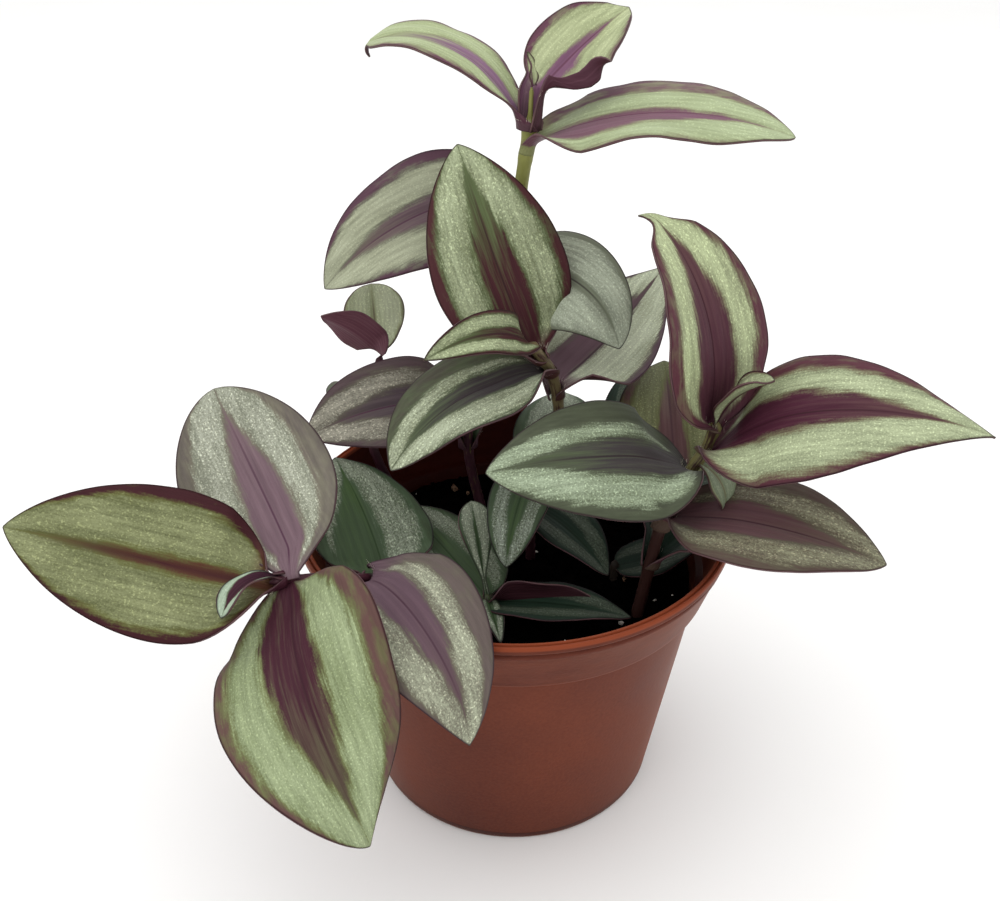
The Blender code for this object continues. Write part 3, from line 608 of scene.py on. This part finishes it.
def stemSkin(name, green, purple, share, purpleBelow):
    # fleshy stem: waxy, green under streaks of purple, browner towards the soil
    material, shader, add = newMaterial("inchStem_" + name, **{**waxy, "Specular IOR Level": 0.3})
    turn, along = (add("Attribute", out="Fac", attribute_name=name) for name in stemLayers)
    streak = drawnNoise(add, turn, along, (0.9, 7.0), Detail=4.0, Roughness=0.65)
    place = add("TexCoord", out="Object")
    patch = add("TexNoise", {"Vector": place, "Scale": 0.23 * perMm, "Detail": 3.0})
    both = add(maths, (streak, 1.6, patch), **timesPlus)
    low = add(ranging, (along, purpleBelow, purpleBelow / 2, 0.0, 0.55))
    both = add(maths, (both, low), **plus)
    mask = add(ranging, (both, 1.45 - share, 1.75 - share), **softly)
    skin = add(mixing, {0: mask, 6: linear(green), 7: linear(purple)}, **tinted)
    gloss = add(maths, (patch, 0.3, 0.28), **timesPlus)
    relief = add("Bump", {"Strength": 0.7, "Distance": 0.12 * mm, "Height": both})
    feed(shader, {"Base Color": skin, "Roughness": gloss, "Normal": relief})
    return material


def mottled(name, dark, light, grains, detail, span=(0.0, 1.0), pits=0, **settings):
    # two tones in a soft noise of so many grains per millimetre; span sets the share of each tone,
    # pits is how deep the noise dents the surface, in millimetres
    material, shader, add = newMaterial(name, **settings)
    place = add("TexCoord", out="Object")
    patch = add("TexNoise", {"Vector": place, "Scale": grains * perMm, "Detail": detail})
    mask = add(ranging, (patch, *span))
    skin = add(mixing, {0: mask, 6: linear(dark), 7: linear(light)}, **tinted)
    feed(shader, {"Base Color": skin})
    if pits:
        feed(shader, {"Normal": add("Bump", {"Strength": 0.8, "Distance": pits * mm, "Height": patch})})
    return material


# the pot, in millimetres; the fades are the heights between which its skin changes at the band, darkened
# partly by painted shade, and at the lip, lightened by a painted highlight
potPlan = dict(height=73.0, lipRadius=51.0, lipWidth=2.1, lipThickness=2.0, bandTop=49.9, bandBottom=46.9,
               bandLow=59.5, baseRadius=35.6, wallTop=44.6, wall=1.5, floor=2.2, channelDepth=0.8,
               discRadius=18.0, channelRadius=31.5, holes=5, holeRadius=2.6, holeCircle=25.0,
               bandFades=(58.6, 60.0), lipHighlightFades=(71.9, 72.4), steps=160, sharpDegrees=42)


def innerRadius(z):
    plan = potPlan
    low, high = plan["floor"], plan["bandLow"] - 1.3
    base, top = plan["baseRadius"] - plan["wall"], plan["wallTop"] - plan["wall"]
    return base + (top - base) * (z - low) / (high - low)


def spunPiece(name, profile, steps, materials):
    bm = bmesh.new()
    verts = [bm.verts.new((r * mm, 0, z * mm)) for r, z in profile]
    edges = [bm.edges.new(pair) for pair in zip(verts, verts[1:])]
    bmesh.ops.spin(bm, geom=verts + edges, cent=(0, 0, 0), axis=(0, 0, 1), angle=math.tau, steps=steps,
                   use_merge=True)
    bmesh.ops.remove_doubles(bm, verts=bm.verts, dist=0.002 * mm)
    bmesh.ops.recalc_face_normals(bm, faces=bm.faces)
    for face in bm.faces:
        face.smooth = True
    return meshPiece(name, bm, materials)


def potSkin(name, wallDark, wallPale, lip, bandMottleAndShade):
    # injection-moulded polypropylene: matte terracotta brown with a mould grain, drawn coarser than life
    # so that it shows; painted shade makes it darker towards the bottom and darkens the band under the lip
    # in drawn streaks, partly mottling of the plastic, and a painted highlight lightens the lip
    material, shader, add = newMaterial(name, **{"IOR": 1.49, "Specular IOR Level": 0.14, "Sheen Weight": 0.2,
                                                 "Sheen Roughness": 0.4, "Sheen Tint": linear("dd8a64")})
    place = add("TexCoord", out="Object")
    height = add("SeparateXYZ", (place,)).node.outputs[2]
    grain = add("TexNoise", {"Vector": place, "Scale": 1.4 * perMm, "Detail": 2.0})
    level = add("Mapping", {"Vector": place, "Scale": (0.11 * perMm, 0.11 * perMm, 0.48 * perMm)})
    drawn = add("TexNoise", {"Vector": level, "Scale": 1.0, "Detail": 5.0, "Roughness": 0.7})
    cloud = add("TexNoise", {"Vector": place, "Scale": 0.03 * perMm, "Detail": 3.0})
    # painted highlight: the top of the lip takes the brighter lip colour
    lipHighlightMask = add(ranging, (height, *(z * mm for z in potPlan["lipHighlightFades"])), **softly)
    wallToneAndShade = add(maths, (grain, 0.4, cloud), **timesPlus)
    # painted shade: the height term makes the wall paler towards the top and darker towards the bottom
    wallToneAndShade = add(maths, (height, 5.0, wallToneAndShade), **timesPlus)
    wallToneAndShadeMask = add(ranging, (wallToneAndShade, 0.55, 1.25))
    wallSkin = add(mixing, {0: wallToneAndShadeMask, 6: linear(wallDark), 7: linear(wallPale)}, **tinted)
    # the band under the lip is darkened in drawn streaks: partly mottling of the plastic, partly painted
    # shade
    bandMask = add(ranging, (height, *(z * mm for z in potPlan["bandFades"])), **softly)
    bandTone = add(maths, (drawn, bandMask), **times)
    bandMottleAndShadeMask = add(ranging, (bandTone, 0.2, 0.62, 0.0, 0.85))
    wallSkin = add(mixing, {0: bandMottleAndShadeMask, 6: wallSkin, 7: linear(bandMottleAndShade)}, **tinted)
    colour = add(mixing, {0: lipHighlightMask, 6: wallSkin, 7: linear(lip)}, **tinted)
    gloss = add(ranging, (cloud, 0.3, 0.7, 0.4, 0.56))
    rough = add(maths, (bandTone, 1.5, grain), **timesPlus)
    relief = add("Bump", {"Strength": 0.4, "Distance": 0.08 * mm, "Height": rough})
    feed(shader, {"Base Color": colour, "Roughness": gloss, "Normal": relief})
    return material


def makePot():
    plan = potPlan
    high, radius, floor, channel = plan["height"], plan["lipRadius"], plan["floor"], plan["channelDepth"]
    base, top, wall = plan["baseRadius"], plan["wallTop"], plan["wall"]
    band, bandFoot, low = plan["bandTop"], plan["bandBottom"], plan["bandLow"]
    lipLow, innerLip = high - plan["lipThickness"], radius - plan["lipWidth"]
    profile = [
        # up the inside, over the grooved lip
        (0, floor), (base - wall - 1.2, floor), (innerRadius(floor + 1.2), floor + 1.2),
        (top - wall, low - 1.3), (top - 0.9, low - 0.4), (bandFoot - wall, low), (innerLip - 0.3, high - 2.2),
        (innerLip, high - 0.9), (innerLip + 0.15, high - 0.25), (innerLip + 0.45, high), (radius - 1.2, high),
        (radius - 0.95, high - 0.6), (radius - 0.7, high - 0.1), (radius - 0.35, high - 0.05),
        (radius - 0.08, high - 0.3), (radius, high - 0.6), (radius, lipLow + 0.5),
        (radius - 0.1, lipLow + 0.25), (radius - 0.5, lipLow),
        # down the band and the wall, and in under the foot
        (band + 0.1, lipLow - 0.3), (band + 0.45, lipLow - 0.75), (band + 0.5, lipLow - 1.2),
        (band + 0.4, lipLow - 1.7), (band, lipLow - 2.1), (bandFoot, low), (bandFoot - 0.15, low - 0.35),
        (bandFoot - 0.5, low - 0.6), (top, low - 0.7), (top - 0.15, low - 2.0), (base + 0.35, 2.4),
        (base + 0.15, 1.0), (base - 0.3, 0.25), (base - 0.9, 0), (plan["channelRadius"], 0),
        (plan["channelRadius"] - 0.8, channel), (plan["discRadius"] + 0.8, channel), (plan["discRadius"], 0),
        (0, 0)]
    outside = potSkin("mouldedPolypropylene", "4a1c11", "6c3523", "7f3a20", "4a1c10")
    # the inside skin is much darker than the outside: painted shade inside the pot
    inside = potSkin("paintedShadeInsidePolypropylene", "2c0b06", "42130a", "7e3a22", "4c180d")
    pot = spunPiece("pot_body", profile, plan["steps"], [outside, inside])
    # faces that look into the pot, the inner floor and the foot's ring just above the ground take the inside
    # skin, painted shade
    for face in pot.data.polygons:
        x, y, z = face.center / mm
        looksIn = face.normal.x * x + face.normal.y * y < -0.3 and z > channel + 1
        if looksIn or 1.5 < z < 3:
            face.material_index = 1
    cutters = []
    for i in range(plan["holes"]):
        angle = math.tau * i / plan["holes"]
        bm = bmesh.new()
        bmesh.ops.create_cone(bm, cap_ends=True, segments=32, radius1=plan["holeRadius"] * mm,
                              radius2=plan["holeRadius"] * mm, depth=6 * mm)
        bmesh.ops.translate(bm, verts=bm.verts, vec=(plan["holeCircle"] * math.cos(angle) * mm,
                                                    plan["holeCircle"] * math.sin(angle) * mm, 1 * mm))
        cutters.append(meshPiece("drainCutter%d" % i, bm, [outside]))
        cut = pot.modifiers.new("drain%d" % i, "BOOLEAN")
        cut.object, cut.operation, cut.solver = cutters[-1], "DIFFERENCE", "EXACT"
    bpy.context.view_layer.update()
    mesh = bpy.data.meshes.new_from_object(pot.evaluated_get(bpy.context.evaluated_depsgraph_get()))
    pot.modifiers.clear()
    pot.data = mesh
    for cutter in cutters:
        bpy.data.objects.remove(cutter, do_unlink=True)
    mesh.set_sharp_from_angle(angle=math.radians(plan["sharpDegrees"]))
    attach(pot, "root")
    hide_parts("pot")


# the soil, in millimetres: how high its swells, clods, lumps and crumbs stand; placed grains are those that
# stand out, with x, y and radius; squash is how far a grain is squeezed or drawn out along each axis
soilPlan = dict(level=56.8, sideGap=0.4, gap=0.3, rings=46, steps=170, swells=0.6, clods=0.5, coarse=0.9,
                fine=0.45, grainGap=1.5, squash=((0.7, 1.4), (0.6, 1.0), (0.5, 0.9)), showing=0.25,
                crumbs=900, perlite=16, placedPerlite=[(24.2, -23.7, 0.75), (32.9, -14.2, 0.4),
                                                       (43.1, -4.0, 0.4), (11.4, -29.8, 0.35)],
                chips=10, placedBark=[(-16.0, 32.3, 1.6), (-9.2, 28.4, 1.2), (-12.4, 30.2, 0.9)])


def soilSkin():
    # damp peat and composted bark: dull, with rusty fibres; its near-black colours are partly the peat's own
    # dark and partly painted shade inside the pot
    material, shader, add = newMaterial("dampPeatAndPaintedShade", **{"IOR": 1.4, "Specular IOR Level": 0.01})
    place = add("TexCoord", out="Object")
    lump = add("TexNoise", {"Vector": place, "Scale": 0.32 * perMm, "Detail": 5.0})
    fibre = add("TexNoise", {"Vector": place, "Scale": 1.1 * perMm, "Detail": 2.0, "Distortion": 2.0})
    tone = add(ranging, (lump, 0.42, 0.72), **softly)
    # near black: the peat's dark colour, darkened further as painted shade
    colour = add(mixing, {0: tone, 6: linear("020202"), 7: linear("080605")}, **tinted)
    rusty = add(ranging, (fibre, 0.7, 0.78, 0.0, 0.35), **softly)
    colour = add(mixing, {0: rusty, 6: colour, 7: linear("33231a")}, **tinted)
    gloss = add(ranging, (lump, 0.3, 0.7, 0.95, 0.7))
    relief = add("Bump", {"Strength": 0.8, "Distance": 0.3 * mm, "Height": fibre})
    feed(shader, {"Base Color": colour, "Roughness": gloss, "Normal": relief})
    return material


def soilHeight(x, y):
    plan = soilPlan
    swells = math.sin(0.21 * x + 0.6) * math.cos(0.17 * y - 0.4)
    clods = math.sin(0.55 * x - 0.38 * y) * math.cos(0.47 * y + 0.29 * x + 1.1)
    lumps = noise.fractal(Vector((x, y, 3.1)) * 0.32, 0.8, 2.1, 4)
    crumbs = noise.fractal(Vector((x, y, 7.7)) * 1.1, 0.9, 2.0, 3)
    return plan["swells"] * swells + plan["clods"] * clods + plan["coarse"] * lumps + plan["fine"] * crumbs


def makeSoil():
    plan = soilPlan
    peat, level = soilSkin(), plan["level"]
    bottom = potPlan["floor"] + plan["gap"]
    rim = innerRadius(level - 0.8) - plan["sideGap"]
    profile = [(rim * i / plan["rings"], level) for i in range(plan["rings"])]
    profile += [(rim, level - 0.6), (innerRadius(bottom + 1.5) - plan["sideGap"], bottom + 1.5),
                (innerRadius(bottom) - 1.9, bottom), (0, bottom)]
    soil = spunPiece("soil_bed", profile, plan["steps"], [peat])
    for vert in soil.data.vertices:
        if vert.co.z > (level - 0.1) * mm:
            x, y = vert.co.x / mm, vert.co.y / mm
            fade = min(1, (rim - math.hypot(x, y)) / 3 + 0.3)
            vert.co.z += soilHeight(x, y) * fade * mm
    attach(soil, "root")
    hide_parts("soil")
    # loose grains, dull and pitted: expanded perlite and composted bark
    dull = {"Roughness": 0.85, "Specular IOR Level": 0.2}
    perlite = mottled("expandedPerlite", "a8a498", "dedbd0", 2.0, 3.0, (0.35, 0.6), 0.2, **dull)
    bark = mottled("pineBark", "5f4433", "a08066", 1.25, 3.0, (0.35, 0.6), 0.2, **dull)
    scatterGrains("soil_crumbs", plan["crumbs"], (0.35, 1.1), [peat], 11, rim)
    scatterGrains("soil_perlite", plan["perlite"], (0.3, 0.6), [perlite], 23, rim, plan["placedPerlite"])
    scatterGrains("soil_bark", plan["chips"], (0.7, 1.4), [bark], 37, rim, plan["placedBark"])


def scatterGrains(name, count, sizes, materials, seed, rim, placed=()):
    plan = soilPlan
    rng = random.Random(seed)
    bm = bmesh.new()
    spots = list(placed)
    for _ in range(count):
        radius, turn = (rim - plan["grainGap"]) * math.sqrt(rng.random()), rng.random() * math.tau
        spots.append((radius * math.cos(turn), radius * math.sin(turn), rng.uniform(*sizes)))
    for x, y, size in spots:
        grain = bmesh.ops.create_icosphere(bm, subdivisions=1, radius=size * mm)["verts"]
        for vert in grain:
            vert.co *= rng.uniform(0.7, 1.15)
        squash = [rng.uniform(*span) for span in plan["squash"]]
        bmesh.ops.scale(bm, verts=grain, vec=squash)
        turn, axis = rng.random() * math.tau, Vector((rng.random(), rng.random(), 1))
        bmesh.ops.rotate(bm, verts=grain, cent=(0, 0, 0), matrix=Matrix.Rotation(turn, 3, axis))
        lift = plan["level"] + soilHeight(x, y) + size * plan["showing"]
        bmesh.ops.translate(bm, verts=grain, vec=Vector((x, y, lift)) * mm)
    for face in bm.faces:
        face.smooth = True
    grains = meshPiece(name, bm, materials)
    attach(grains, "root")


# the stems' skins
# slims: from how far up a stem is slimmer (from there down if negative), over how far and to what share
# sags: how far up a stem sags, how far either way and how deep; all in millimetres
stemPlan = dict(sides=18, step=1.2, taper=0.18, nodeSwell=0.14, nodeReach=1.3, nodeBelow=0.4,
                internodeSlim=0.04, domed=1.5, sags={"d": (34, 8, 2.3)},
                slims={"a": [(-76, 14, 0.72), (103, 5, 0.3)], "d": [(0, 1, 0.74)]})


def stemKnots(name):
    # swollen joints, just under each leaf's sheath
    below = stemPlan["nodeBelow"]
    clasped = [leaf.get("knot", leaf["up"] - leaf["sheath"] - below) for leaf in leavesOf(leaves, name)]
    return clasped + [leaf.get("knot", leaf["up"]) for leaf in leavesOf(youngLeaves, name)]


def leavesOf(table, stem):
    return [leaf for key, leaf in table.items() if key[0] == stem]


def makeStem(name, material):
    plan = stemPlan
    line = stemLine(name)
    length = sum((b - a).length for a, b in zip(line, line[1:]))
    count = round(length / plan["step"])
    side = Vector((1, 0, 0))
    knots = stemKnots(name)
    bm = bmesh.new()
    turnLayer, alongLayer = (bm.verts.layers.float.new(key) for key in stemLayers)
    bmesh.ops.create_circle(bm, segments=plan["sides"], radius=1, cap_ends=False)
    ring = list(bm.edges)
    for i in range(count + 1):
        distance = length * i / count
        centre, axis = alongLine(line, distance)
        side = (side - axis * side.dot(axis)).normalized()
        up = axis.cross(side)
        radius = stems[name]["radius"] * (1 - plan["taper"] * i / count) * (1 - plan["internodeSlim"])
        swell = sum(math.exp(-((distance - knot) / plan["nodeReach"]) ** 2) for knot in knots)
        radius *= 1 + plan["nodeSwell"] * swell
        for start, reach, share in plan["slims"].get(name, []):
            beyond = (-start - distance if start < 0 else distance - start) / reach
            radius *= 1 - (1 - share) * smoothStep(beyond)
        if name in plan["sags"]:
            middle, reach, drop = plan["sags"][name]
            centre = centre - Vector((0, 0, drop * math.exp(-((distance - middle) / reach) ** 2)))
        nearTop = max(0, 1 - (length - distance) / plan["domed"])
        radius *= math.sqrt(max(0.04, 1 - nearTop ** 2))
        if i:
            made = bmesh.ops.extrude_edge_only(bm, edges=ring)["geom"]
            ring = [part for part in made if isinstance(part, bmesh.types.BMEdge)]
        verts = {vert for edge in ring for vert in edge.verts}
        for vert in verts:
            if not i:
                vert[turnLayer] = math.atan2(vert.co.y, vert.co.x)
            angle = vert[turnLayer]
            vert.co = (centre + (side * math.cos(angle) + up * math.sin(angle)) * radius) * mm
            vert[alongLayer] = distance
        if i == count:
            bmesh.ops.contextual_create(bm, geom=ring)
    for face in bm.faces:
        face.smooth = True
    for vert in bm.verts:
        vert[turnLayer] = abs(vert[turnLayer]) * stems[name]["radius"]
    bmesh.ops.recalc_face_normals(bm, faces=bm.faces)
    stem = meshPiece("stem_%s_skin" % name, bm, [material])
    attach(stem, "root")
    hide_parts("stem_" + name)


# fine hairs stand round each sheath's mouth; drawn three times as thick as life so that they show
hairPlan = dict(count=26, length=(0.9, 1.7), radius=0.045, tipRadius=0.006, spreadDegrees=118, lean=35,
                leanSpread=25, seed=5)


def makeHairs(name, keys, material):
    plan = hairPlan
    rng = random.Random(plan["seed"])
    bm = bmesh.new()
    for key in keys:
        leaf = leaves[key]
        mouth = claspSections(key[0], leaf)[1]
        for _ in range(plan["count"]):
            v = rng.uniform(-1, 1)
            root = sectionPoint(leaf, mouth, v, False)
            turn = math.radians(plan["spreadDegrees"]) * v
            outward = mouth[1] * math.sin(turn) - mouth[2] * math.cos(turn)
            upward = mouth[2].cross(mouth[1])
            upward *= math.copysign(1, upward.z)
            tilt = math.radians(plan["lean"] + rng.uniform(-plan["leanSpread"], plan["leanSpread"]))
            along = (outward * math.sin(tilt) + upward * math.cos(tilt)).normalized()
            length = rng.uniform(*plan["length"])
            hair = bmesh.ops.create_cone(bm, cap_ends=False, segments=3, radius1=plan["radius"] * mm,
                                         radius2=plan["tipRadius"] * mm, depth=length * mm)["verts"]
            upright = along.to_track_quat("Z", "Y").to_matrix().to_4x4()
            placed = Matrix.Translation((root + along * length / 2) * mm) @ upright
            bmesh.ops.transform(bm, verts=hair, matrix=placed)
    hairs = meshPiece(name, bm, [material])
    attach(hairs, "root")


def newLook(palette, bandWidth, marginWidth, **rest):
    # eight sRGB colours in the order of upperColours, the band's and margins' half widths as shares of the
    # blade's, then what differs from the usual leaning, grain (which also sets how bright the painted glints
    # are), green in the margins and rib
    usual = dict(lean=0.0, tilt=0.0, grain=0.6, green=0.2, ribReach=0.4)
    colours = dict(zip(upperColours, palette.split()))
    return {**usual, **colours, "bandWidth": bandWidth, "marginWidth": marginWidth, **rest}


bright = newLook("b2ba91 959d77 858768 77526a 7c5d6a 64404f 341820 583245", 0.36, 0.22, grain=0.3)
vivid = newLook("aab38f 81886b 6f6a52 461f2f 563a3c 552f38 2a141b 33151f", 0.56, 0.22, green=0.0)
olive = newLook("858a64 5e6240 5c5e34 573626 62643a 3c1a1f 291013 3a161b", 0.2, 0.22, tilt=0.2, green=-0.3,
                ribReach=1.6)
fresh = newLook("9eaa85 78835e 666b44 42202b 58503f 604642 2e151b 341621", 0.56, 0.26, ribReach=0.6,
                lean=0.14, tilt=-0.35, grain=0.5, green=0.15)
mauve = newLook("adb09f 7e8170 736f60 705a62 776268 6b5a5c 36202a 46283a", 0.56, 0.34, tilt=0.1, grain=0.9,
                green=0.05)
dusky = newLook("a1a192 716f60 635c54 5f4953 5f4c50 573f4c 311e27 3e2632", 0.5, 0.34, tilt=-0.4, grain=0.9,
                green=0.05)
mossy = newLook("9dab90 69735b 4e563f 3b3436 4c563e 47443a 302427 2d2226", 0.5, 0.32, tilt=0.4, grain=0.8,
                green=0.5)
maroon = newLook("a1aa89 71785a 566040 411f24 55613f 482629 291416 301a1c", 0.55, 0.22, grain=0.7,
                 green=-0.1)
brown = newLook("8b8671 5c5446 5c5142 5f4246 5d4b45 5a3d42 2e1a1d 3c242c", 0.66, 0.28, tilt=-0.3, grain=0.9,
                green=0.1)
deep = newLook("8c9482 545e4a 475740 42523a 445835 3d4734 292325 2a3a22", 0.5, 0.26, grain=1.0, green=0.7)
# painted shade: colours much darker than the leaves' own green, for leaves deep inside the plant
paintedShadeLook = newLook("50594d 2f392c 233228 203126 263629 282f27 1d181a 162418", 0.5, 0.26, grain=0.8, green=0.7)
pale = newLook("b2ba9c 99a182 8c936e 858569 8f9475 7a7660 4a3634 6f6554", 0.16, 0.14, grain=0.4, green=0.7)
budding = newLook("a8b8a2 8d9e88 67705a 391b29 42232e 391f2a 241219 2e1520", 1.7, 0.2, grain=0.3)
leafLooks = dict(
    a1=dict(bright, marginWidth=0.18, silver="a9b48c", silverDeep="8e986e", bandWidth=0.46, band="806078",
            bandTip="959d78", rib="6c5660"),
    a2=dict(bright, bandWidth=0.3, tilt=-0.2),
    a3=dict(bright, tilt=-0.85, bandWidth=0.52, marginWidth=0.34, silver="a6b28c", silverDeep="919b75",
            lean=0.32, band="70505c", bandTip="745062", margin="6b4c57", base="949a70"),
    a4=dict(mauve, silver="a5a990", silverDeep="898c75", band="5e4b51", bandTip="6a5f58", margin="573c48",
            leaf="6c6c5c", bandWidth=0.44, marginWidth=0.24, grain=0.3, tilt=0.2),
    a5=dict(mossy, silver="adb5a0", silverDeep="838978", leaf="747a68", band="6b6f60", bandTip="788069",
            margin="747764", bandWidth=0.24, marginWidth=0.16, grain=0.5, tilt=0.0),
    a6=dict(mauve, silver="979485", silverDeep="686559", leaf="5b564b", band="4f4348", bandTip="554a49",
            margin="544547"),
    a7=mossy, a8=deep, b1=maroon,
    b3=dict(mossy, tilt=0.9, silver="aab298", silverDeep="727860", marginWidth=0.36),
    b5=dict(dusky, silver="c0c8ae", silverDeep="969c82", band="6a525a", margin="5f4a54", lean=-0.26,
            tilt=-0.2, bandWidth=0.34, marginWidth=0.16, grain=0.5),
    b6=deep,
    c1=dict(vivid, tilt=-0.1, marginWidth=0.3, bandWidth=0.6, silver="b4bf94", silverDeep="898f6f",
            band="4c2a35"),
    c2=dict(vivid, tilt=-0.5, bandWidth=0.5, marginWidth=0.27, lean=-0.06, silver="b0ba95"),
    c3=dict(mossy, tilt=0.6, silver="98a58b", silverDeep="667058", marginWidth=0.4, margin="454a3a",
            leaf="4b513f", band="3f3a3a"),
    c4=dict(brown, silver="88886f", margin="55463f", leaf="5b5646", edge="33201f"),
    c7=dict(brown, leaf="5a5e38", band="543839", silver="6f7350", silverDeep="595c3b", margin="5a3c3e",
            bandWidth=0.44, green=0.3),
    c8=paintedShadeLook, d1=olive,
    d2=dict(mauve, margin="665f58", green=0.4),
    d3=fresh,
    d4=dict(dusky, silver="9ea28c", margin="5f5450", leaf="625e50"),
    d5=dict(deep, lean=-0.4, bandWidth=0.62),
    e3=mossy)
youngLooks = dict(
    a0=bright,
    b0=dict(maroon, silver="a2ac88"),
    c0=dict(vivid, bandWidth=0.3),
    c1=dict(pale, silver="8f9a80", silverDeep="6f7a60"),
    d0=dict(budding, bandWidth=1.2, marginWidth=0.05),
    e0=dict(pale, silver="c4cbae", silverDeep="adb494", band="9da080", leaf="a3a986"),
    e1=pale, g0=deep,
    g1=dict(deep, silver="98a08c", silverDeep="6c7562", margin="5c6652", edge="3a4034", bandWidth=0.3),
    g2=paintedShadeLook, g3=paintedShadeLook, g4=deep, h0=paintedShadeLook, j0=paintedShadeLook, j1=paintedShadeLook,
    k0=dict(deep, silver="8f988a"),
    k1=paintedShadeLook)
bothFacesStriped = ("c0", "a0")
# green, purple, share of purple and the height under which it browns, in millimetres
stemLooks = dict(a=("8a8c4c", "4e2f38", 0.0, 70), b=("6f6446", "3f2725", 0.22, 40),
                 c=("716c44", "3a2420", 0.24, 44), d=("5a3036", "42202a", 0.7, 40),
                 e=("5d3f42", "40222a", 0.6, 34), **dict.fromkeys("ghj", ("4a5638", "38302a", 0.2, 10)),
                 k=("5b4245", "40242c", 0.5, 34))
# undersides: purple, paler veins, sheath
underLooks = dict(a=("43242f", "5f3c48", "523840"), b=("46262c", "66474a", "4a302c"),
                  c=("4c2a34", "6c4a50", "54443a"), d=("42202c", "5c3844", "3d1c27"),
                  e=("5a3540", "7a545c", "5a3a40"), **dict.fromkeys("ghj", ("33191f", "452a31", "3a4030")),
                  k=("3a2228", "523840", "4a3a34"), a3=("63404c", "80606a", "84875a"),
                  a4=("5a3a44", "7c5a64", "7c8050"))


def dressPlant():
    pattern = upperPattern()
    under = {key: underSkin(key, *colours) for key, colours in underLooks.items()}
    # the blade's cut-thin rim, where the purple of both faces meets
    rim = mottled("inchLeafRim", "3c2028", "6a4c4c", 0.16, 2.0, IOR=1.42, Roughness=0.5)
    for seed, (key, leaf) in enumerate(leaves.items()):
        sections = (claspSections if leaf["clasp"] else stalkSections)(key[0], leaf)
        skins = [striped(key, leafLooks[key], pattern, seed), under.get(key, under[key[0]]), rim]
        blade = bladePiece("leaf_%s_blade" % key, leaf, sections, bladePlan["columns"], skins,
                           clasp=leaf["clasp"])
        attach(blade, "root")
        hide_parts("leaf_" + key)
    print("leaves", len(leaves))
    for stem in stems:
        makeStem(stem, stemSkin(stem, *stemLooks[stem]))
        for i, leaf in enumerate(leavesOf(youngLeaves, stem)):
            key = stem + str(i)
            seed = 40 + 7 * i + ord(stem)     # away from the grown leaves' seeds
            upper = striped("young_" + key, youngLooks[key], pattern, seed)
            skins = [upper, upper if key in bothFacesStriped else under[stem], rim]
            sections, columns = youngSections(stem, leaf), bladePlan["youngColumns"]
            blade = bladePiece("young_" + key, leaf, sections, columns, skins, young=True)
            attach(blade, "root")
            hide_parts("stem_" + stem)
    print("stems", len(stems))
    # plant hair: a clear thread of cells, pale and a little shiny
    hair = mottled("sheathHair", "b9b39c", "e6e0cc", 0.4, 1.0, Roughness=0.4, IOR=1.45)
    makeHairs("sheath_hairs", [key for key, leaf in leaves.items() if leaf["clasp"]], hair)
    print("hairs")


studio = dict(world="ffffff", worldLight=0.95, keyPower=7.2, keySize=1.6, keyPlace=(-0.25, 0.0, 1.1),
              fillPower=0.5, fillSize=0.6, fillPlace=(0.5, -0.5, 0.6), lampsAim=(0, 0, 0.09))
# fitted to the pot's rim, band and base in the photo; metres, and millimetres of sensor and lens
cameraPlan = dict(sensor=36, lens=39.6, place=(0, -0.2179, 0.2167), facing=(-0.0134, 0.8616, -0.5075))


def turnedTo(direction):
    return Vector(direction).to_track_quat("-Z", "Y").to_euler()


def makeStudio():
    # seamless photographic paper: white, dull, with a faint cloud of fibres
    paper = mottled("backdropPaper", "fbfbfa", "f6f5f3", 0.009, 4.0, Roughness=0.9)
    bm = bmesh.new()
    bmesh.ops.create_grid(bm, x_segments=1, y_segments=1, size=3)
    floor = meshPiece("studio_floor", bm, [paper])
    world = bpy.data.worlds.new("studio")
    bpy.context.scene.world = world
    world.use_nodes = True
    feed(world.node_tree.nodes["Background"], (linear(studio["world"]), studio["worldLight"]))
    for name in ("key", "fill"):
        lamp = bpy.data.lights.new(name + "Softbox", "AREA")
        lamp.energy, lamp.size = studio[name + "Power"], studio[name + "Size"]
        holder = bpy.data.objects.new(name + "Softbox", lamp)
        bpy.context.scene.collection.objects.link(holder)
        holder.location = studio[name + "Place"]
        holder.rotation_euler = turnedTo(Vector(studio["lampsAim"]) - holder.location)


def makeCamera():
    plan = cameraPlan
    lens = bpy.data.cameras.new("photoCamera")
    lens.sensor_width, lens.lens = plan["sensor"], plan["lens"]
    lens.clip_start, lens.clip_end = 0.01, 20
    camera = bpy.data.objects.new("photoCamera", lens)
    bpy.context.scene.collection.objects.link(camera)
    camera.location = plan["place"]
    camera.rotation_euler = turnedTo(plan["facing"])
    bpy.context.scene.camera = camera


makeCamera()
makePot()
print("pot")
makeSoil()
print("soil")
dressPlant()
makeStudio()
bpy.context.scene.view_settings.view_transform = "Standard"
print("studio")
